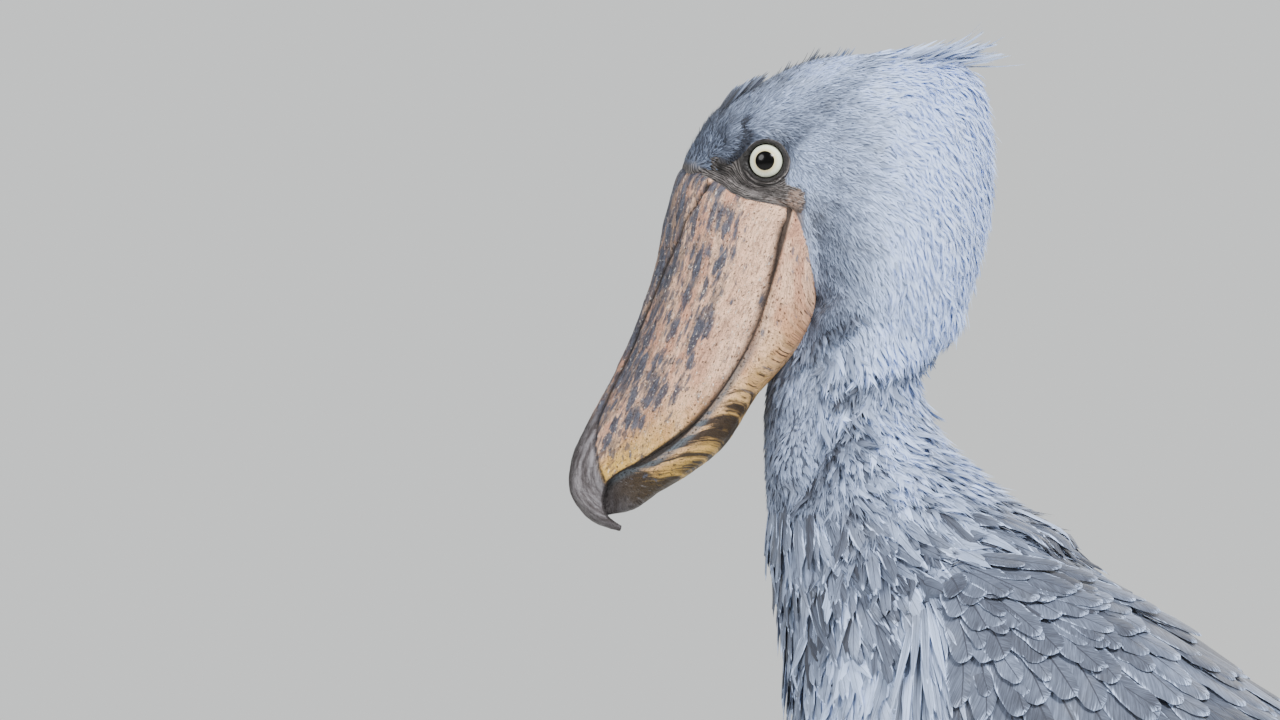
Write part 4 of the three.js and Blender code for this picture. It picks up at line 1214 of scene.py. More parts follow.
class Vane:
    """A feather's shape: rows of points along it, closed underneath, in shares of its length and width."""

    def __init__(self, rows, across, cup=1.0, prongs=None):
        self.cup = cup
        spots, faces = [], []
        side = np.linspace(-1, 1, across)
        for along, wide in rows:
            spots += [(along, a * wide, 1 - a * a, abs(a) > 0.99) for a in side]
        for i in range(len(rows) - 1):
            for j in range(across - 1):
                k = i * across + j
                faces.append((k, k + 1, k + across + 1, k + across))
            left, right = i * across, i * across + across - 1
            faces.append((left, left + across, right + across, right))
        last = (len(rows) - 1) * across
        tip = last + across
        if prongs:
            spots += [(along, a * 0.9, 0.3 * (1 - a * a), True) for along, a in zip(prongs, side)]
            faces += [(last + j, last + j + 1, tip + j + 1, tip + j) for j in range(across - 1)]
            faces.append((last, *range(tip, tip + across), tip - 1))
        else:
            spots.append((1.0, 0.0, 0.15, True))
            faces += [(last + j, last + j + 1, tip) for j in range(across - 1)]
            faces.append((last, tip, tip - 1))
        faces.append(tuple(range(across - 1, -1, -1)))
        spots = np.array(spots, float)
        self.along, self.across, self.bulge = spots[:, 0], spots[:, 1], spots[:, 2]
        self.rim = spots[:, 3] > 0
        self.faces = faces

    def mesh(self, name, points, numbers, tones, seats, patch=0.003):
        """A mesh of many feathers: points (feather, spot, 3), with their fields and their map."""
        count, spots = points.shape[:2]
        sizes = np.array([len(f) for f in self.faces])
        corners = np.concatenate([np.array(f) for f in self.faces])
        loops = (corners[None] + np.arange(count)[:, None] * spots).ravel()
        starts = np.concatenate([[0], np.cumsum(np.tile(sizes, count))[:-1]])
        mesh = bpy.data.meshes.new(name)
        mesh.vertices.add(count * spots)
        set_points(mesh, points)
        mesh.loops.add(len(loops))
        mesh.loops.foreach_set("vertex_index", loops.astype(np.int32))
        mesh.polygons.add(len(starts))
        mesh.polygons.foreach_set("loop_start", starts.astype(np.int32))
        mesh.polygons.foreach_set("use_smooth", np.ones(len(starts), bool))
        mesh.update(calc_edges=True)
        width = np.abs(self.across).max()
        vane = [np.tile(self.along, count), np.tile(self.across / width, count), np.repeat(numbers, spots)]
        set_vectors(mesh, "vane", np.stack(vane, -1))
        set_floats(mesh, "tone", np.repeat(tones, spots))
        rim = self.rim[read_array(mesh.edges, "vertices", 2, np.int32) % spots].all(1)
        sharp = mesh.attributes.get("sharp_edge") or mesh.attributes.new("sharp_edge", "BOOLEAN", "EDGE")
        sharp.data.foreach_set("value", rim)
        patch = np.broadcast_to(np.asarray(patch, float), (2,))
        local = np.stack([self.across / width / 2 * 0.9, (self.along - 0.5) * 0.9], -1) * patch
        spread = (seats[:, None] + local[None]).reshape(-1, 2)
        layer = mesh.uv_layers.new(name="OFBake")
        layer.data.foreach_set("uv", spread[loops].astype(np.float32).ravel())
        mesh.validate()
        return mesh


DOWN_VANE = Vane([(0, 0.6), (0.45, 1.0)], 3)
SOFT_VANE = Vane([(0, 0.5), (0.3, 1.0), (0.7, 0.72)], 3)
TUFT_VANE = Vane([(0, 0.5), (0.48, 1.0)], 5, prongs=(0.86, 0.6, 1.0, 0.64, 0.9))
PLUME_VANE = Vane([(0, 0.45), (0.2, 0.85), (0.42, 1.0), (0.62, 0.88), (0.8, 0.6), (0.92, 0.3)], 5)
ROUND_VANE = Vane(
    [(0, 0.4), (0.2, 0.78), (0.42, 0.97), (0.62, 1.0), (0.78, 0.9), (0.89, 0.68), (0.96, 0.4)], 5
)
FLIGHT_VANE = Vane(
    [
        (0, 0.42), (0.08, 0.62), (0.18, 0.8), (0.3, 0.91), (0.42, 0.97), (0.54, 1.0), (0.66, 1.0),
        (0.76, 0.96), (0.84, 0.88), (0.9, 0.77), (0.945, 0.62), (0.978, 0.4),
    ],
    9,
)


def frayed(shape, count, draw, ragged, splits=0.0):
    """Spots across many feathers of a shape, each ragged at its edges and split here and there."""
    across = shape.across[None] * (1 + ragged * draw.normal(0, 1, (count, len(shape.along))))
    cut = (draw.random((count, len(shape.along))) < splits) * draw.uniform(0.12, 0.34, (count, 1))
    return across * (1 - cut * np.abs(shape.across[None]) ** 6)


def grow_feathers(
    ground, shape, draw, spacing, keep, size, turn, raised, sunk, lift, spread, clump, tone=None, ragged=0.12
):
    """Feathers over a stretch of skin, laid along the coat. Sizes in millimetres, turns in degrees."""
    roots, normals, seats = ground.scatter(spacing * MM, draw, keep)
    count = len(roots)
    places = drawn(roots)
    lie = lie_of_coat(places)
    swing = draw.normal(0, turn, count) + wavy(places, clump * 3, 26, 61) + wavy(places, clump * 2, 11, 62)
    swing = np.radians(swing)
    lie -= normals * (lie * normals).sum(1, keepdims=True)
    lie /= np.linalg.norm(lie, axis=1, keepdims=True) + 1e-9
    side = np.cross(normals, lie)
    ahead = lie * np.cos(swing)[:, None] + side * np.sin(swing)[:, None]
    side = np.cross(normals, ahead)
    vary = 1 + draw.normal(0, 0.16, count).clip(-0.35, 0.4)
    long, wide = (size[0] * vary * MM)[:, None], (size[1] * (0.6 + 0.4 * vary) * MM)[:, None]
    share = shape.along[None] * (1 + ragged * shape.rim * draw.normal(0, 0.8, (count, len(shape.along))))
    along = share * long
    across = frayed(shape, count, draw, ragged) * wide / 2
    bow = draw.normal(0, 0.09, (count, 1)) * long * share**2
    flat = roots[:, None] + ahead[:, None] * along[..., None] + side[:, None] * (across + bow)[..., None]
    swell = 1 + wavy(places, clump * 0.1, 14, 63)[:, None]
    tips = (raised * swell + lift * np.abs(draw.normal(0, 1, (count, 1)))) * MM
    tilt = draw.normal(0, 0.15, (count, 1)) * shape.across[None] * wide / 2
    heights = sunk * MM + (tips - sunk * MM) * np.maximum(share, 0) ** 0.85 + tilt
    heights = heights + shape.bulge[None] * wide * 0.11 * shape.cup
    points = ground.lay(flat, heights)
    shade = tone_of_coat(places) if tone is None else np.full(count, float(tone))
    return points, draw.random(count), shade + draw.normal(0, spread, count), seats


def coat_piece(name, shape, ground, draw, material, batches):
    """One piece of coat from batches of feathers of the same shape. Each batch has its spacing, the test
    that keeps a root, length and width, turn, heights of tip and root, lift, spread of tone, clump, and
    some its own tone and raggedness."""
    grown = [grow_feathers(ground, shape, draw, *batch) for batch in batches]
    points, numbers, tones, seats = (np.concatenate(part) for part in zip(*grown))
    add_piece(name, shape.mesh(name, points, numbers, tones, seats), material)


def away_from_face(points):
    """False where the face is bare or the bill covers it."""
    naked = bare_skin(points)[0]
    return (naked < 0.4) & ((above_bill_edge(points) > 0.5) | (points[:, 0] > -96))


def under_wing(points, margin=0.0):
    """True on the skin that the folded wings cover, in from their edges by a margin in degrees."""
    t, share, _ = ring_place(WING_RINGS, points)
    rows = np.array([row_at(WING_RINGS, v) for v in np.linspace(0, 1, 60)])
    half, top, low = (np.interp(t, np.linspace(0, 1, 60), rows[:, k]) for k in (4, 7, 8))
    angle = np.degrees(np.arctan2(np.abs(points[:, 1]) / half, (share - 0.5) * 2))
    return (angle > top + 8 + margin) & (angle < low - 10 - margin) & (t > 0.06) & (t < 0.97)


def blurred(grid, cells, rounds=2):
    """A grid of heights averaged over cells to each side."""
    for _ in range(rounds):
        for axis in (0, 1):
            wide = np.concatenate([grid.take([0] * cells, axis), grid, grid.take([-1] * cells, axis)], axis)
            total = np.cumsum(np.insert(wide, 0, 0, axis), axis)
            span = 2 * cells + 1
            count = grid.shape[axis]
            grid = (total.take(range(span, span + count), axis) - total.take(range(count), axis)) / span
    return grid


def build_face(side, hand, ground, bill, material):
    """The bare skin about an eye as a fine sheet with its folds, let into the feathers round it."""
    xs, zs = (np.arange(*FACE_SHEET[key], FACE_SHEET["step"]) for key in ("x", "z"))
    grid_x, grid_z = np.meshgrid(xs, zs, indexing="ij")
    points = np.stack([grid_x.ravel(), np.full(grid_x.size, hand * (EYE["y"] + 6.0)), grid_z.ravel()], -1)
    rise, far = above_bill_edge(points), eye_distance(points)
    naked, pink, black = bare_skin(points)
    run = points[:, 0] + wavy(points, 3, 20, 31)
    strip = ramp(20, 14, rise) * ramp(0.5, 2.5, rise)
    folds = 0.45 * np.sin((rise + 0.06 * run + wavy(points, 2.4, 11, 32)) * 2 * math.pi / 2.2) * strip
    rings = 0.4 * np.sin((far + wavy(points, 1.6, 9, 33)) * 2 * math.pi / 2.3)
    rings = rings * ramp(23, 18, far) * ramp(12.5, 13.5, far)
    warts = np.zeros(len(points))
    for x, z, size in WARTS:
        lump = np.clip(1 - (np.hypot(points[:, 0] - x, points[:, 2] - z) / size) ** 2, 0, 1)
        warts = np.maximum(warts, np.sqrt(lump) * size * 0.8)
    crease = ramp(2.4, 0.2, near_line(BROW_FOLD, points)[0]) * ramp(24, 16, rise)
    height = 0.8 + folds + rings * (1 - strip * 0.5) + warts - 1.5 * crease - 1.1 * black * (far > 12.4)
    height = height + 1.2 * np.sin(np.clip(rise / 16, 0, 1) * math.pi) + 0.6 * ramp(5, 1.5, rise)
    height = height - 3.6 * (1 - np.clip(naked * 1.5, 0, 1)) - 3.5 * ramp(0.6, -1.6, rise)
    place = placed(points)
    down = (0.0, -float(hand), 0.0)
    base = np.zeros((2, len(place)))
    for i, (x, y, z) in enumerate(place.tolist()):
        for k, tree in enumerate((ground.tree, bill)):
            spot = tree.ray_cast((x, hand * 0.08 + SHIFT[1], z), down)[0]
            base[k, i] = 0 if spot is None else hand * (spot[1] - SHIFT[1]) / MM
    flat = np.maximum(base[0], base[1] * (rise < 14)).reshape(grid_x.shape)
    cover = np.maximum(blurred(flat, 4), base[0].reshape(flat.shape)).ravel()
    out, weight = eye_socket(points)
    cover = cover + weight * ramp(4, 9, rise) * (out - cover)
    place[:, 1] = SHIFT[1] + hand * (cover + height) * MM
    rows, columns = grid_x.shape
    index = np.arange(rows * columns).reshape(rows, columns)
    show = ((naked > 0.02) & (rise > -3) & (far > 10.6)).reshape(rows, columns)
    keep = show[:-1, :-1] | show[1:, 1:] | show[1:, :-1] | show[:-1, 1:]
    corners = np.stack([index[:-1, :-1], index[1:, :-1], index[1:, 1:], index[:-1, 1:]], -1)[keep]
    used, fresh = np.unique(corners, return_inverse=True)
    mesh = mesh_of("face_" + side, place[used], fresh.reshape(corners.shape).tolist())
    if hand > 0:
        mesh.flip_normals()
    set_floats(mesh, "tone", np.full(len(used), 0.3))
    set_vectors(mesh, "bare", np.stack([np.ones(len(used)), pink[used], black[used]], -1))
    across = rise + (30 - far - rise) * ramp(22, 15, far)
    set_vectors(mesh, "fold", np.stack([run, across, points[:, 1]], -1)[used] / 10)
    add_piece("face_" + side, mesh, material)


def build_head_coat(ground, material, tufted):
    """Down of face and crown, and tufts of nape, chin and jaw."""
    draw = np.random.default_rng(11)

    def face(points, draw):
        x, _, z = points.T
        crease = near_line(BROW_FOLD, points)[0] < 1.5
        return away_from_face(points) & (z > 984) & (x < -70) & ~crease

    def crown(points, draw):
        x, _, z = points.T
        return away_from_face(points) & (z > 982) & (x > -73) & (x < 20)

    def nape(points, draw):
        x, _, z = points.T
        return (x > -52) & (z > 980) & (draw.random(len(points)) < ramp(-50, -12, x) + 0.08) & (z < 1158)

    def cap(points, draw):
        off, side = near_line(CAP_EDGE, points)
        return away_from_face(points) & (off * side > 0) & (points[:, 0] < -40)

    def stubble(points, draw):
        x, y, z = points.T
        return cap(points, draw) & (draw.random(len(points)) < ramp(34, 8, np.abs(y)) * ramp(-60, -100, x))

    def fold(points, draw):
        off = near_line(CHIN_FOLD, points)[0]
        return (off < 2.4) & (points[:, 2] > 985)

    def jaw(points, draw):
        off, side = near_line(JAW_EDGE, points)
        return (off * side > 5) & (off * side < 14) & (points[:, 0] > -74) & (points[:, 0] < 6)

    def brow(points, draw):
        return away_from_face(points) & (near_line(BROW_FOLD, points)[0] < 1.2)

    coat_piece("face_coat", DOWN_VANE, ground, draw, material, [
        (1.28, face, (5.2, 0.95), 9, 0.8, -0.6, 0.2, 0.08, 5),
        # The feathers along the brow's crease are set darkest, as painted shade under the brow's ridge.
        (1.05, brow, (3.2, 1.1), 12, 2.3, -0.6, 0.3, 0.04, 0.0, 0.0),
    ])
    coat_piece("crown_coat", DOWN_VANE, ground, draw, material, [
        (1.85, crown, (8.5, 1.4), 9, 1.0, -0.7, 0.3, 0.07, 6),
        (2.2, cap, (6.5, 0.9), 10, 1.0, -0.7, 0.4, 0.13, 6),
        (3.4, stubble, (6.5, 0.9), 14, 1.5, -0.7, 0.6, 0.08, 0.0, 0.04),
    ])
    coat_piece("nape_coat", TUFT_VANE, ground, draw, tufted, [
        (2.4, nape, (12, 1.8), 15, 1.6, -0.8, 1.7, 0.1, 10),
        (2.0, fold, (11, 2.0), 14, 3.0, -0.8, 1.4, 0.12, 6, 0.28),
        (2.6, jaw, (15, 2.6), 14, 4.6, -0.8, 1.6, 0.1, 10),
    ])


def build_neck_coat(ground, material):
    """Fine tufts on the throat, and longer ones behind and below."""
    draw = np.random.default_rng(12)

    def on_neck(points):
        x, _, z = points.T
        off, side = near_line(JAW_EDGE, points)
        under_jaw = (off * side < 4) | (x < -72)
        clear = (above_bill_edge(points) > 0) | (x > -104) | (z < 985)
        return under_jaw & (z > 862) & (z < 998) & clear & ~((x < -92) & (z > 980))

    def front(points, draw):
        return on_neck(points) & (draw.random(len(points)) < ramp(-60, -84, points[:, 0]))

    def rear(points, draw):
        return on_neck(points) & (draw.random(len(points)) < ramp(-90, -66, points[:, 0]))

    coat_piece("throat_coat", TUFT_VANE, ground, draw, material, [
        (2.5, front, (9, 2.2), 9, 1.0, -0.8, 0.5, 0.06, 7),
    ])
    coat_piece("neck_coat", TUFT_VANE, ground, draw, material, [
        (3.2, rear, (12, 3.0), 12, 1.7, -1.0, 0.8, 0.09, 12),
        (5.0, rear, (18, 3.4), 14, 2.8, -1.0, 1.9, 0.15, 20),
    ])


def build_body_coat(ground, fine, broad):
    """Plumes of the breast, rounded feathers of back and belly, and the thighs."""
    draw = np.random.default_rng(13)

    def breast(points, draw):
        z = points[:, 2]
        t, share, _ = ring_place(TORSO_RINGS, points)
        front = (z < 905) & (t < 0.56) & ((share < 0.72) | (z > 870))
        return front & ~under_wing(points) & (on_leg(points) < 0.3)

    def mantle(points, draw):
        z = points[:, 2]
        t, share, _ = ring_place(TORSO_RINGS, points)
        return (z < 880) & (share > 0.66) & ~under_wing(points, 6) & (t < 0.97)

    def belly(points, draw):
        z = points[:, 2]
        t, share, _ = ring_place(TORSO_RINGS, points)
        return (t > 0.5) & (share < 0.7) & ~under_wing(points, 4) & (on_leg(points) < 0.3) & (z < 720)

    def thigh(points, draw):
        return (on_leg(points) > 0.2) & (points[:, 2] > 300)

    coat_piece("breast_coat", PLUME_VANE, ground, draw, fine, [
        (8.0, breast, (29, 9.5), 13, 3.6, -1.2, 1.1, 0.12, 9),
        (11.5, breast, (40, 8.5), 14, 5.2, -1.0, 1.8, 0.17, 10),
    ])
    coat_piece("body_coat", ROUND_VANE, ground, draw, broad, [
        (11, mantle, (36, 15), 11, 4.6, -1.5, 1.3, 0.1, 5, None, 0.07),
        (14, belly, (42, 17), 12, 5.0, -1.5, 1.4, 0.08, 6, None, 0.1),
    ])
    coat_piece("thigh_coat", SOFT_VANE, ground, draw, fine, [
        (5.4, thigh, (20, 6), 10, 2.8, -1.0, 1.0, 0.08, 5),
    ])


def seat_grid(count):
    """Places of many feathers on a map, one cell each, with the cell's size."""
    across = math.ceil(math.sqrt(count))
    index = np.arange(count)
    return (np.stack([index % across, index // across], -1) + 0.5) / across, 1 / across


def on_wing(hand, shape, roots, tips, widths, low, high, tilt, draw, ragged, splits):
    """Points of feathers laid on a folded wing, from roots to tips (u, v)."""
    roots, tips = np.array(roots), np.array(tips)
    count = len(roots)
    widths, low, high = (np.broadcast_to(np.array(v, float), count)[:, None] for v in (widths, low, high))
    along = shape.along[None]
    u = roots[:, :1] + (tips - roots)[:, :1] * along
    v = roots[:, 1:] + (tips - roots)[:, 1:] * along
    v = v + draw.normal(0, 0.012, (count, 1)) * along**2
    step = 0.02
    across = wing_surface(hand, u, v + step, 0.0) - wing_surface(hand, u, v - step, 0.0)
    scale = np.linalg.norm(across, axis=-1) / (2 * step)
    v = v + frayed(shape, count, draw, ragged, splits) * widths / 2 / scale
    height = low + (high - low) * along**0.7 + tilt * shape.across[None]
    height = height + shape.bulge[None] * widths * 0.05 * shape.cup
    return wing_surface(hand, u, v, height)


def tier_ends(count, root, tip, draw):
    """Roots and tips of a tier's feathers, from the first to the last."""
    share = np.linspace(0, 1, count)[:, None]
    roots, tips = (np.array(ends[0]) * (1 - share) + np.array(ends[1]) * share for ends in (root, tip))
    return roots, tips + draw.normal(0, 0.007, (count, 2)), share[:, 0]


def scattered_ends(count, box, reach, draw):
    """Roots and tips of feathers strewn evenly over a box (u from, to, v from, to) of the wing."""
    roots = []
    while len(roots) < count:
        picks = draw.random((24, 2)) * [box[1] - box[0], box[3] - box[2]] + [box[0], box[2]]
        far = [min([np.hypot(*((p - r) * [1.6, 1.0])) for r in roots] or [1.0]) for p in picks]
        roots.append(picks[int(np.argmax(far))])
    roots = np.array(sorted(roots, key=lambda p: -p[0]))
    share = (roots[:, 0] - box[0]) / (box[1] - box[0])
    long = reach[0] + (reach[1] - reach[0]) * share + draw.normal(0, 0.012, count)
    return roots, roots + np.stack([long, draw.normal(0.02, 0.035, count)], -1), share


def vane_piece(name, shape, points, tones, draw, material, nodes=(), mirrored=False):
    """A piece of large feathers, each with a cell of its own on the map."""
    seats, cell = seat_grid(len(points))
    mesh = shape.mesh(name, placed(points), draw.random(len(points)), tones, seats, cell)
    if mirrored:
        mesh.flip_normals()
    add_piece(name, mesh, material, nodes)


def build_wing(hand, side, material, soft):
    """The folded wing's feathers in tiers, then scapulars over its upper part and plumes on its edge."""
    draw = np.random.default_rng(40 + hand)
    points, tones = [], []
    for count, root, tip, width, raised, tone in WING_TIERS:
        roots, tips, share = tier_ends(count, root, tip, draw)
        widths = width[0] + (width[1] - width[0]) * share
        high = raised + draw.normal(0, 0.3, count)
        points.append(on_wing(hand, FLIGHT_VANE, roots, tips, widths, -3.5, high, 1.7, draw, 0.035, 0.12))
        tones.append(tone + draw.normal(0, 0.06, count))
    for count, box, reach, width, raised in SCAPULARS:
        roots, tips, share = scattered_ends(count, box, reach, draw)
        widths = width[0] + (width[1] - width[0]) * share + draw.normal(0, 1, count)
        high = raised - 1.8 * share + draw.normal(0, 0.5, count)
        tilt = draw.normal(0, 1)
        points.append(on_wing(hand, FLIGHT_VANE, roots, tips, widths, -5.0, high, tilt, draw, 0.05, 0.2))
        tones.append(0.22 + draw.normal(0, 0.08, count))
    points, tones, name = np.concatenate(points), np.concatenate(tones), "wing_feathers_" + side
    vane_piece(name, FLIGHT_VANE, points, tones, draw, material, ("wing_" + side,), hand < 0)
    points, tones = [], []
    for count, box, reach, width, low, high in EDGE_PLUMES:
        roots, tips, share = scattered_ends(count, box, reach, draw)
        tips[:, 1] -= draw.uniform(0.04, 0.12, count)
        widths = width + draw.normal(0, 0.8, count)
        raised = high + draw.normal(0, 0.8, count)
        tilt = draw.normal(0, 0.8)
        points.append(on_wing(hand, PLUME_VANE, roots, tips, widths, low, raised, tilt, draw, 0.14, 0.3))
        tones.append(0.62 + draw.normal(0, 0.12, count))
    points, tones, name = np.concatenate(points), np.concatenate(tones), "edge_plumes_" + side
    vane_piece(name, PLUME_VANE, points, tones, draw, soft, mirrored=hand < 0)


def free_vane(shape, root, ahead, bend, side, length, width, cup=0.08):
    """Points of a feather that stands free along a bent line, in millimetres."""
    root, ahead, bend, side = (np.array(v, float) for v in (root, ahead, bend, side))
    ahead /= np.linalg.norm(ahead)
    side /= np.linalg.norm(side)
    up = np.cross(side, ahead)
    s = shape.along[:, None]
    points = root + ahead * length * s + bend * length * s**2
    return points + side * (shape.across * width / 2)[:, None] + up * (shape.bulge * width * cup)[:, None]


def tail_vane(root, swing, bend, length, width, cup):
    """A feather of the tail, swung out by an angle in the tail's plane."""
    slope = math.radians(TAIL["slope"])
    ahead = [math.cos(slope) * math.cos(swing), math.sin(swing), -math.sin(slope) * math.cos(swing)]
    side = [-math.cos(slope) * math.sin(swing), math.cos(swing), math.sin(slope) * math.sin(swing)]
    return free_vane(FLIGHT_VANE, root, ahead, bend, side, length, width, cup)


def build_tail(material):
    """Pairs of long tail feathers, and rows of coverts over their roots."""
    draw = np.random.default_rng(21)
    slope = math.radians(TAIL["slope"])
    up = np.array([math.sin(slope), 0, math.cos(slope)])
    root_x, root_z = TAIL["root"]
    points = []
    for k in range(TAIL["pairs"]):
        for hand in (-1, 1):
            swing = math.radians(1 + TAIL["spread"] * k / (TAIL["pairs"] - 1)) * hand
            low = -TAIL["drop"] * k - (0.9 if hand > 0 else 0)
            root = np.array([root_x, hand * (3 + 3.2 * k), root_z]) + up * low
            length = TAIL["length"] - 3 * k
            points.append(tail_vane(root, swing, [0.02, 0, -0.02], length, TAIL["width"], 0.04))
    long_ones = len(points)
    for row, (start, size, count) in enumerate(TAIL_COVERTS):
        for i in range(count):
            f = i / (count - 1) - 0.5
            root = np.array([root_x + start * math.cos(slope), f * 44, root_z - start * math.sin(slope)])
            root = root + up * (1.5 + 1.6 * row - 14 * f * f)
            points.append(tail_vane(root, math.radians(13 * f), [0.01, 0, -0.03], size, 26, 0.06))
    tones = np.array([0.22] * long_ones + [0.42] * (len(points) - long_ones))
    tones = tones + draw.normal(0, 0.03, len(points))
    vane_piece("tail_feathers", FLIGHT_VANE, np.array(points), tones, draw, material, ("tail",))


def build_crest(material):
    """The small crest at the back of the crown, and stray tufts on the forehead."""
    draw = np.random.default_rng(5)
    places = np.linspace(0, 1, len(HEAD_RINGS))
    points, tones = [], []

    def plume(x, y, length, width, ahead, bend, tone):
        t = float(np.interp(x, [row[0] for row in HEAD_RINGS], places))
        z = float(body_ring(HEAD_RINGS, t, [abs(y) / 62], -2.5)[..., 2])
        side = [0.2 * draw.normal(), 1, 0.6 + 0.4 * draw.normal()]
        points.append(free_vane(PLUME_VANE, [x, y, z], ahead, bend, side, length, width, 0.1))
        tones.append(tone + draw.normal(0, 0.13))

    for _ in range(200):
        f = draw.random()
        x, y = -72 + 72 * f, draw.normal(0, 10)
        length = 13 + 10 * f + 11 * f * draw.random()
        rise = 0.1 + 0.62 * f * draw.random()
        ahead = [1, y * 0.02 + draw.normal(0, 0.1), rise]
        plume(min(x, 8), y, length, 2.5, ahead, [0, draw.normal(0, 0.06), 0.2 * (draw.random() - 0.4)], 0.7)
    for _ in range(90):
        f = draw.random()
        ahead = [1, draw.normal(0, 0.15), 1.6 - 0.5 * f + draw.normal(0, 0.1)]
        tone = 0.36 if draw.random() < 0.7 else 0.05
        plume(-141 + 17 * f, draw.normal(0, 7), 16 + 5 * draw.random(), 2.6, ahead, [0.05, 0, -0.06], tone)
    for x, count, long, tone in CROWN_TUFTS:
        for _ in range(count):
            at = x + draw.normal(0, 2 if long > 10 else 4.5)
            ahead = [1, draw.normal(0, 0.3), 0.35 + 0.6 * draw.random()]
            y, length = draw.normal(0, 5), long * (0.8 + 0.5 * draw.random())
            plume(at, y, length, 1.7, ahead, [-0.15, 0, 0.2], tone)
    for x, y, length, rise in STRAY_PLUMES:
        plume(x, y, length, 1.2, [1, 0.02 * y, rise], [0, 0, 0.1], 0.75)
    count = len(points)
    seats = np.stack([draw.random(count), draw.random(count)], -1) * 0.9 + 0.05
    mesh = PLUME_VANE.mesh("crest", placed(np.array(points)), draw.random(count), np.array(tones), seats)
    add_piece("crest", mesh, material)


def smooth_profile(profile, count, even):
    """Points along a profile, close together where the groove runs unless they are to be even."""
    profile = np.array(profile, float)
    run = np.concatenate([[0], np.cumsum(np.hypot(*np.diff(profile, axis=0).T))])
    at = np.linspace(0, 1, count) if even else np.linspace(0, 1, count) ** 1.45
    at = at * run[-1]
    return np.stack([np.interp(at, run, profile[:, k]) for k in (0, 1)], -1)


def bill_form(rows, profile, steps, count, lower):
    """Points, faces and fields of one half of the bill. The lower half's edge is let into the upper."""
    half = smooth_profile(profile, count, lower)
    outline = np.concatenate([half, (half[1:-1] * [-1, 1])[::-1]])
    order = np.concatenate([np.arange(count), np.arange(1, count - 1)[::-1]])
    across, up = outline.T
    rings, runs, edges = [], [], []
    length, before = 0.0, None
    for t in np.linspace(0, 1, steps + 1):
        tx, tz, bx, bz, wide = row_at(rows, t)
        span = math.hypot(tx - bx, tz - bz)
        if lower:
            let_in = 6.5 * min(1, (1 - t) * 8) / span
            tx, tz = tx + (tx - bx) * let_in, tz + (tz - bz) * let_in
        spot = np.array([(tx + bx) / 2, (tz + bz) / 2])
        length += 0 if before is None else float(np.hypot(*(spot - before)))
        before = spot
        rings.append(np.stack([bx + (tx - bx) * up, across * wide, bz + (tz - bz) * up], -1))
        reach = (1 - half[:, 1]) * span + half[:, 0] * wide * 0.6
        round_ = reach[order] / 10 * np.sign(across + 1e-6)
        runs.append(np.stack([np.full(len(order), length / 10), round_, np.full(len(order), t)], -1))
        edges.append((half[:, 1] if lower else 1 - half[:, 1])[order])
    points, faces = tube(rings)
    runs, edges = (np.concatenate(part) for part in (runs, edges))
    runs, edges = (np.concatenate([part, part[:1], part[-1:]]) for part in (runs, edges))
    return points, faces, runs, edges


def wavy(points, amount, scale, seed):
    """A slow, even waviness over points, in millimetres."""
    draw = np.random.default_rng(seed)
    wave = np.zeros(len(points))
    for _ in range(7):
        direction = draw.normal(0, 1, 3)
        direction /= np.linalg.norm(direction)
        wave += np.sin(points @ direction / scale * (0.6 + draw.random()) * 2 * math.pi + draw.random() * 6.3)
    return wave / 7 * amount


def upper_bill_relief(points, share, edges):
    """Heights and zones of the upper bill: the ridge, its groove, the nostril and the hook."""
    off, side = near_line(GROOVE, points)
    plate = ramp(0.8, -0.8, off * side)
    outer = (np.abs(points[:, 1]) > 2.5) & (edges < 0.985)
    slit = near_line(NOSTRIL, points)[0]
    slit = ramp(1.4, 0.5, slit) * (np.abs(points[:, 1]) < 34) * (np.abs(points[:, 1]) > 8)
    lip = bell(edges - 0.9, 0.05) * ramp(0.1, 0.3, share) * ramp(0.85, 0.65, share)
    height = 0.8 * plate * ramp(0.0, 0.08, share)
    height = height - 1.2 * bell(off, 0.75) * outer - 2.2 * slit + 0.7 * lip
    nail = np.maximum(plate * ramp(962, 948, points[:, 2]), ramp(0.8, 0.84, share))
    # The dark line holds painted shade in the groove, the nostril slit and along the mouth line.
    mouth_shade = ramp(0.925, 0.965, edges) * ramp(0.35, 0.6, share) * 0.7
    line = np.clip(bell(off, 0.6) * outer + slit + mouth_shade + ramp(0.95, 0.972, edges) * 0.95, 0, 1)
    return height, nail, line


def build_bill(props):
    """Both halves of the bill, each with a slow unevenness over its horn."""
    pieces = (
        ("upper_bill", UPPER_BILL_RINGS, UPPER_BILL_PROFILE, 190, 84, False),
        ("lower_bill", LOWER_BILL_RINGS, LOWER_BILL_PROFILE, 130, 60, True),
    )
    for name, rows, profile, steps, count, lower in pieces:
        points, faces, runs, edges = bill_form(rows, profile, steps, count, lower)
        share = runs[:, 2]
        dents = wavy(points, 0.3 if lower else 0.7, 26, 3)
        dents = dents + wavy(points, 0.3, 9, 4) + wavy(points, 0.14, 3.5, 5)
        if lower:
            nail = ramp(0.8, 0.95, share)
            line = ramp(0.6, 0.72, edges) * ramp(0.3, 0.5, share)
        else:
            relief, nail, line = upper_bill_relief(points, share, edges)
            dents += relief
        mesh = mesh_of(name, placed(points), faces)
        outward(mesh)
        normals = read_array(mesh.vertex_normals, "vector", 3)
        set_points(mesh, placed(points) + normals * dents[:, None] * MM)
        mesh.update()
        set_vectors(mesh, "run", runs)
        set_vectors(mesh, "zone", np.stack([edges, nail, line], -1))
        add_piece(name + "_horn", mesh, bill_material(name + "_finish", props, lower), (name,))


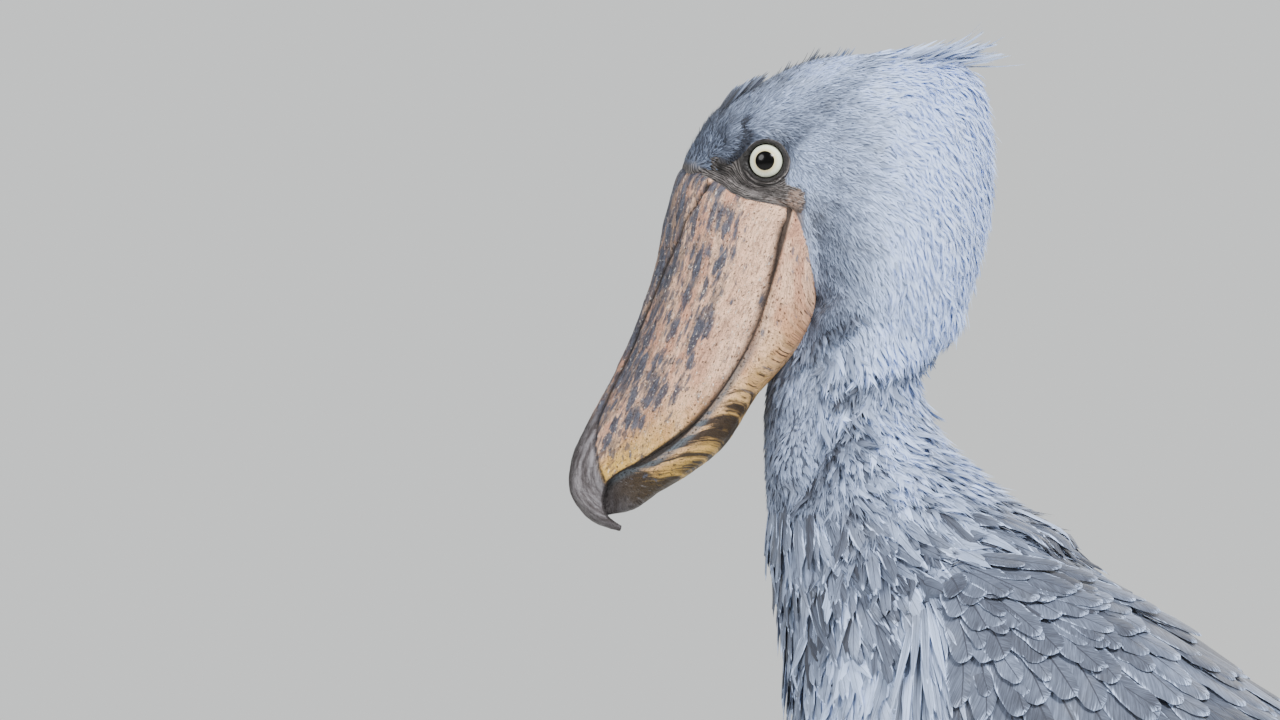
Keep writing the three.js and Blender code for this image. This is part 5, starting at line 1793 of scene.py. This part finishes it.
def build_eyes(props):
    """Both eyeballs, each with a low swell over its iris."""
    material = eye_material(props)
    radius = props.eye_radius * 1000
    spin = circle(64)
    upright = np.array([0, 0, 1])
    for side, hand in SIDES.items():
        centre, axis, level = eye_frame(hand)
        rings, polar = [], []
        for tilt in np.linspace(0.5, 179.5, 72):
            angle = math.radians(tilt)
            reach = radius - 0.5 + 0.5 * math.exp(-((tilt / 38) ** 4))
            off = reach * math.sin(angle)
            round_ = (level * np.cos(spin)[:, None] + upright * np.sin(spin)[:, None]) * off
            rings.append(axis * reach * math.cos(angle) + round_ + centre)
            seen = off if tilt < 90 else radius + (radius - off)
            polar.append(np.stack([np.full_like(spin, seen), np.abs(spin - math.pi), 0 * spin], -1))
        points, faces = tube(rings)
        mesh = mesh_of("eye_" + side, placed(points), faces)
        outward(mesh)
        set_vectors(mesh, "polar", np.concatenate([*polar, [[0, 0, 0], [radius * 2, 0, 0]]]))
        add_piece("eyeball_" + side, mesh, material, ("eye_" + side,))


def build_lids(material):
    """The thick wrinkled rim of bare skin round each eye."""
    steps, count = LID["steps"], LID["sides"]
    around = circle(count)
    for side, hand in SIDES.items():
        centre, axis, level = eye_frame(hand)
        rings = []
        for spin in circle(steps):
            out = level * math.cos(spin) + np.array([0, 0, 1]) * math.sin(spin)
            wrinkle = 0.1 * math.sin(spin * 23) + 0.08 * math.sin(spin * 37 + 1)
            corner = max(0, -math.cos(spin)) ** 14
            lift = LID["out"] - 0.5 * math.cos(2 * spin) - 0.8 * corner
            path = centre + out * (LID["reach"] + 2.0 * corner) + axis * lift
            wide = LID["wide"] + wrinkle + 1.5 * corner
            high = LID["high"] + wrinkle * 0.6
            flat, raised = (wide * np.cos(around))[:, None], (high * np.sin(around))[:, None]
            rings.append(path + out * flat + axis * raised)
        points = np.concatenate(rings)
        faces = []
        for i in range(steps):
            here, there = i * count, (i + 1) % steps * count
            for j in range(count):
                k = (j + 1) % count
                faces.append((here + j, here + k, there + k, there + j))
        mesh = mesh_of("lid_" + side, placed(points), faces)
        outward(mesh)
        black = np.tile(ramp(-0.9, -0.1, -np.cos(around)) * 0.2 + 0.8, steps)
        set_floats(mesh, "tone", np.full(len(points), 0.2))
        set_vectors(mesh, "bare", np.stack([np.ones(len(points)), np.zeros(len(points)), black], -1))
        set_vectors(mesh, "fold", points / 10)
        add_piece("lid_" + side, mesh, material)


def toe_ring(hand, name, t, angles, claw=False):
    """A ring of a toe, or of its claw, at share t of its length."""
    heading, length, thick = TOES[name]
    turn = math.radians(heading) * -hand
    ahead = np.array([-math.cos(turn), -math.sin(turn), 0])
    side = np.array([-ahead[1], ahead[0], 0])
    foot = np.array([FOOT_X + (-STRIDE if hand < 0 else STRIDE), hand * FOOT_Y, 0.0])
    if claw:
        tight = thick * CLAW_SHARE * (1 - 0.94 * t**1.4)
        along = length - 1.5 + (CLAW_LENGTH + 1.5) * t
        level = thick * 0.78 - CLAW_DROP * t * t + 1.2 * math.sin(math.pi * t)
        wide = tight * 0.8
    else:
        swell = 1 + 0.1 * math.cos(t * 6 * math.pi)
        tight = wide = thick * (1.12 - 0.34 * t) * swell * (1 - 0.35 * ramp(0.93, 1, t))
        along = PAD_RADIUS * 0.3 + (length - PAD_RADIUS * 0.3) * t
        level = TOE_ROOT_Z - (TOE_ROOT_Z - thick * 0.74) * min(1, t * 2.2)
    ring = foot + ahead * along + side * (wide * np.sin(angles))[:, None]
    ring[:, 2] = np.maximum(0.3, level + tight * np.cos(angles))
    return ring


def build_legs(props):
    """Both bare legs with their toes, and the claws."""
    skin, horn = leg_material(props), claw_material(props)
    angles = circle(28)
    for side, hand in SIDES.items():
        forms = [tube([leg_ring(SHANK_RINGS, hand, t, angles) for t in np.linspace(0, 1, 90)])]
        for name in TOES:
            forms.append(tube([toe_ring(hand, name, t, angles) for t in np.linspace(0, 1, 46)]))
        mesh = fused("leg_" + side, [(placed(p), f) for p, f in forms], 1.7, 3)
        points = mesh_points(mesh)
        points[:, 2] = np.maximum(points[:, 2], 0.0)
        set_points(mesh, points)
        add_piece("leg_" + side, mesh, skin, ("shank_" + side, "foot_" + side))
        for name in TOES:
            points, faces = tube([toe_ring(hand, name, t, angles, True) for t in np.linspace(0, 1, 16)])
            mesh = mesh_of("claw", placed(points), faces)
            outward(mesh)
            add_piece(f"claw_horn_{side}_{name}", mesh, horn, (f"claw_{side}_{name}",))


def build_stage(props):
    """Pale floor, soft lights and the camera, at the height of the bird's head."""
    scene = bpy.context.scene
    floor = mesh_of("floor", [(-7, -7, 0), (7, -7, 0), (7, 7, 0), (-7, 7, 0)], [(0, 1, 2, 3)])
    ground = bpy.data.objects.new("floor", floor)
    scene.collection.objects.link(ground)
    floor.materials.append(floor_material(props))
    world = bpy.data.worlds.new("studio")
    scene.world = world
    world.use_nodes = True
    nodes = Nodes(world.node_tree)
    fill = world.node_tree.nodes["Background"]
    fill.inputs["Color"].default_value = (*props.backdrop, 1)
    fill.inputs["Strength"].default_value = props.fill
    shown = nodes.add("ShaderNodeBackground")
    shown.inputs["Color"].default_value = (*props.backdrop, 1)
    seen = nodes.add("ShaderNodeMixShader")
    nodes.feed(seen.inputs[0], nodes.add("ShaderNodeLightPath").outputs["Is Camera Ray"])
    nodes.feed(seen.inputs[1], fill.outputs[0])
    nodes.feed(seen.inputs[2], shown.outputs[0])
    nodes.feed(world.node_tree.nodes["World Output"].inputs[0], seen.outputs[0])
    lamps = (
        ("key", (1.3, -2.5, 3.3), 1.2, props.key),
        ("fill", (-2.4, -2.2, 2.2), 1.8, props.key * 0.4),
        ("rim", (1.2, 2.3, 2.6), 1.4, props.key * 0.5),
    )
    aim = bpy.data.objects.new("aim", None)
    aim.location = (-0.1, 0, 0.9)
    scene.collection.objects.link(aim)
    for name, place, size, power in lamps:
        lamp = bpy.data.lights.new(name, "AREA")
        lamp.shape = "DISK"
        lamp.size, lamp.energy = size, power
        light = bpy.data.objects.new(name, lamp)
        light.location = place
        scene.collection.objects.link(light)
        hold = light.constraints.new("TRACK_TO")
        hold.target, hold.track_axis, hold.up_axis = aim, "TRACK_NEGATIVE_Z", "UP_Y"
    lens = bpy.data.cameras.new("camera")
    lens.lens, lens.sensor_width, lens.clip_end = props.lens, SENSOR, 60
    camera = bpy.data.objects.new("camera", lens)
    distance = props.frame_width * props.lens / SENSOR
    camera.location = (VIEW_MIDDLE[0] * MM + SHIFT[0], -distance, VIEW_MIDDLE[1] * MM)
    camera.rotation_euler = (math.pi / 2, 0, 0)
    scene.collection.objects.link(camera)
    scene.camera = camera


# What a user would change


def colour_prop(name, text, value):
    """A colour that a user can set."""
    return bpy.props.FloatVectorProperty(
        name=name, description=text, default=value, subtype="COLOR", size=3, min=0, max=1
    )


def size_prop(name, text, value):
    """A length in metres that a user can set."""
    return bpy.props.FloatProperty(
        name=name, description=text, default=value, subtype="DISTANCE", unit="LENGTH", min=0
    )


class ShoebillPlumage(bpy.types.PropertyGroup):
    """Sizes and colours of the skin and its feathers."""

    skin_voxel: size_prop("Skin fineness", "Size of the skin's faces", 0.0034)
    dark: colour_prop("Dark slate", "The darkest feathers", (0.034, 0.039, 0.057))
    pale: colour_prop("Pale blue-grey", "The palest feathers", (0.54, 0.68, 1.0))
    warm: colour_prop("Warm grey", "Where the plumage is weathered", (0.62, 0.64, 0.68))
    # Darkest bare skin: painted shade in the wrinkles' creases, and the skin's darker mottle and grain.
    skin_dark: colour_prop("Skin folds", "Bare skin in its folds", (0.015, 0.012, 0.011))
    skin_light: colour_prop("Bare skin", "Bare skin of the face", (0.24, 0.22, 0.215))
    gape: colour_prop("Gape", "Warty skin at the corner of the bill", (0.36, 0.25, 0.2))


class ShoebillHead(bpy.types.PropertyGroup):
    """Sizes and colours of the bill and eyes."""

    bill: colour_prop("Horn", "The bill's main colour", (0.68, 0.35, 0.225))
    bill_light: colour_prop("Light horn", "Where the bill is palest", (0.95, 0.6, 0.41))
    bill_brown: colour_prop("Brown horn", "Streaks along the bill", (0.2, 0.12, 0.085))
    stain: colour_prop("Stained horn", "Dusky stains between the blotches", (0.15, 0.115, 0.1))
    bill_blue: colour_prop("Blue edge", "The lower bill along the mouth", (0.13, 0.16, 0.19))
    blotch: colour_prop("Blotches", "The upper bill's dark blotches", (0.03, 0.038, 0.062))
    blotch_light: colour_prop("Worn blotches", "Where the blotches are worn", (0.09, 0.108, 0.155))
    smudge: colour_prop("Smudges", "The lower bill's dark smudges", (0.014, 0.01, 0.01))
    yellow: colour_prop("Yellow horn", "The bill toward its cutting edge", (0.72, 0.44, 0.085))
    hook: colour_prop("Hook", "The hook's dark horn", (0.07, 0.058, 0.06))
    # Pale bluish grey of the hook: worn horn and a painted highlight.
    hook_wear_and_highlight: colour_prop("Worn hook", "The hook's worn horn", (0.34, 0.32, 0.345))
    eye_radius: size_prop("Eye radius", "Radius of the eyeball", 0.0122)
    iris_radius: size_prop("Iris radius", "Radius of the iris", 0.0101)
    pupil: size_prop("Pupil radius", "Radius of the pupil", 0.0056)
    iris: colour_prop("Iris", "Main colour of the iris", (0.86, 0.92, 0.78))
    iris_shade: colour_prop("Iris shade", "Darker rays of the iris", (0.66, 0.72, 0.52))


class ShoebillLegs(bpy.types.PropertyGroup):
    """Colours of legs and claws."""

    leg: colour_prop("Leg", "Bare skin of the legs", (0.05, 0.052, 0.06))
    leg_light: colour_prop("Worn leg", "Worn and dusty scales", (0.16, 0.16, 0.165))
    claw: colour_prop("Claw", "Horn of the claws", (0.025, 0.022, 0.02))


class ShoebillStage(bpy.types.PropertyGroup):
    """Camera, floor and light."""

    lens: bpy.props.FloatProperty(
        name="Lens", description="Focal length in millimetres", default=200, min=20, max=600
    )
    frame_width: size_prop("Frame width", "Width of the view at the bird", 0.7424)
    floor: colour_prop("Floor", "Colour of the floor", (0.72, 0.72, 0.7))
    backdrop: colour_prop("Backdrop", "Colour behind the bird", (0.86, 0.88, 0.88))
    fill: bpy.props.FloatProperty(
        name="Fill", description="Strength of the light from all round", default=0.42, min=0
    )
    key: bpy.props.FloatProperty(
        name="Key light", description="Power of the main light in watts", default=235, min=0, unit="POWER"
    )


def needed(name):
    """A piece that an earlier step makes."""
    if name not in bpy.data.objects:
        raise RuntimeError(f"The piece {name} has to be made first.")
    return bpy.data.objects[name]


def coat_material(name):
    """The finish of a kind of feather, made once."""
    if name in bpy.data.materials:
        return bpy.data.materials[name]
    props = bpy.context.scene.shoebill_plumage
    looks = {  # length, slant and density of barbs, rim, pale tip, shaft, fringe, bump, streak, tips
        # The last number, tips, darkens each root as painted shade under the feathers over it and pales the
        # tip; a negative number turns it round.
        "down_feathers": (3.0, 0.0, 1.3, 1.02, 0.5, 0.0, 0.1, 0.25, 0.4, 0.34),
        "tuft_feathers": (1.8, 0.0, 4.5, 1.02, 0.5, 0.0, 0.12, 0.4, 0.55, 0.36),
        "plume_feathers": (14.0, 0.5, 2.6, 0.92, 0.78, 0.35, 0.95, 0.5, 0.5, 0.16),
        "body_feathers": (22.0, 0.3, 2.0, 1.05, 0.6, 0.5, 0.8, 0.5, 0.6, 0.1),
        "vane_feathers": (46.0, 0.2, 1.6, 1.08, 0.6, 0.5, 0.75, 0.5, 0.6, -0.1),
    }
    return plumage_material(name, props, *looks[name])


class SHOEBILL_OT_stage(bpy.types.Operator):
    """Sets the floor, the lights and the camera"""

    bl_idname = "shoebill.stage"
    bl_label = "Stage"

    def execute(self, context):
        build_stage(context.scene.shoebill_stage)
        return {"FINISHED"}


class SHOEBILL_OT_skin(bpy.types.Operator):
    """Makes the one skin of head, neck, body, wings and thighs"""

    bl_idname = "shoebill.skin"
    bl_label = "Skin"

    def execute(self, context):
        build_skin(context.scene.shoebill_plumage)
        return {"FINISHED"}


class SHOEBILL_OT_bill(bpy.types.Operator):
    """Makes both halves of the bill"""

    bl_idname = "shoebill.bill"
    bl_label = "Bill"

    def execute(self, context):
        build_bill(context.scene.shoebill_head)
        return {"FINISHED"}


class SHOEBILL_OT_face(bpy.types.Operator):
    """Lays the bare skin of the face and the rims of the eyes, over skin and bill"""

    bl_idname = "shoebill.face"
    bl_label = "Face"

    def execute(self, context):
        ground = Ground(needed("skin"))
        horn = needed("upper_bill_horn")
        polygons = [tuple(polygon.vertices) for polygon in horn.data.polygons]
        bill = BVHTree.FromPolygons(mesh_points(horn.data).tolist(), polygons)
        material = needed("skin").data.materials[0]
        for side, hand in SIDES.items():
            build_face(side, hand, ground, bill, material)
        build_lids(material)
        return {"FINISHED"}


class SHOEBILL_OT_eyes(bpy.types.Operator):
    """Makes both eyes"""

    bl_idname = "shoebill.eyes"
    bl_label = "Eyes"

    def execute(self, context):
        build_eyes(context.scene.shoebill_head)
        return {"FINISHED"}


class SHOEBILL_OT_coat(bpy.types.Operator):
    """Grows the small feathers of head, neck, breast, back, belly and thighs"""

    bl_idname = "shoebill.coat"
    bl_label = "Coat"

    def execute(self, context):
        ground = Ground(needed("skin"))
        down, tufted = coat_material("down_feathers"), coat_material("tuft_feathers")
        build_head_coat(ground, down, tufted)
        build_neck_coat(ground, tufted)
        build_body_coat(ground, coat_material("plume_feathers"), coat_material("body_feathers"))
        build_crest(down)
        return {"FINISHED"}


class SHOEBILL_OT_wings(bpy.types.Operator):
    """Lays the tiers of feathers of both wings, and the tail"""

    bl_idname = "shoebill.wings"
    bl_label = "Wings and tail"

    def execute(self, context):
        material = coat_material("vane_feathers")
        for side, hand in SIDES.items():
            build_wing(hand, side, material, coat_material("plume_feathers"))
        build_tail(material)
        return {"FINISHED"}


class SHOEBILL_OT_legs(bpy.types.Operator):
    """Makes the bare legs, feet and claws"""

    bl_idname = "shoebill.legs"
    bl_label = "Legs"

    def execute(self, context):
        build_legs(context.scene.shoebill_legs)
        return {"FINISHED"}


OPERATORS = (
    SHOEBILL_OT_stage,
    SHOEBILL_OT_skin,
    SHOEBILL_OT_bill,
    SHOEBILL_OT_face,
    SHOEBILL_OT_eyes,
    SHOEBILL_OT_coat,
    SHOEBILL_OT_wings,
    SHOEBILL_OT_legs,
)
GROUPS = {
    "shoebill_plumage": ShoebillPlumage,
    "shoebill_head": ShoebillHead,
    "shoebill_legs": ShoebillLegs,
    "shoebill_stage": ShoebillStage,
}


class SHOEBILL_PT_panel(bpy.types.Panel):
    """The bird's settings and the steps that make it"""

    bl_label = "Shoebill"
    bl_idname = "SHOEBILL_PT_panel"
    bl_space_type = "VIEW_3D"
    bl_region_type = "UI"
    bl_category = "Shoebill"

    def draw(self, context):
        layout = self.layout
        for key, group in GROUPS.items():
            box = layout.box()
            box.label(text=group.__doc__)
            for prop in group.__annotations__:
                box.prop(getattr(context.scene, key), prop)
        for operator in OPERATORS:
            layout.operator(operator.bl_idname)


def register():
    """Adds the settings, the operators and the panel."""
    for group in (*GROUPS.values(), *OPERATORS, SHOEBILL_PT_panel):
        bpy.utils.register_class(group)
    for key, group in GROUPS.items():
        setattr(bpy.types.Scene, key, bpy.props.PointerProperty(type=group))


def unregister():
    """Takes away what register adds."""
    for key in GROUPS:
        delattr(bpy.types.Scene, key)
    for group in (SHOEBILL_PT_panel, *reversed(OPERATORS), *reversed(GROUPS.values())):
        bpy.utils.unregister_class(group)


def main():
    """Makes the bird step by step."""
    register()
    for step in OPERATORS:
        getattr(bpy.ops.shoebill, step.bl_idname.split(".")[1])()


if __name__ == "__main__":
    main()
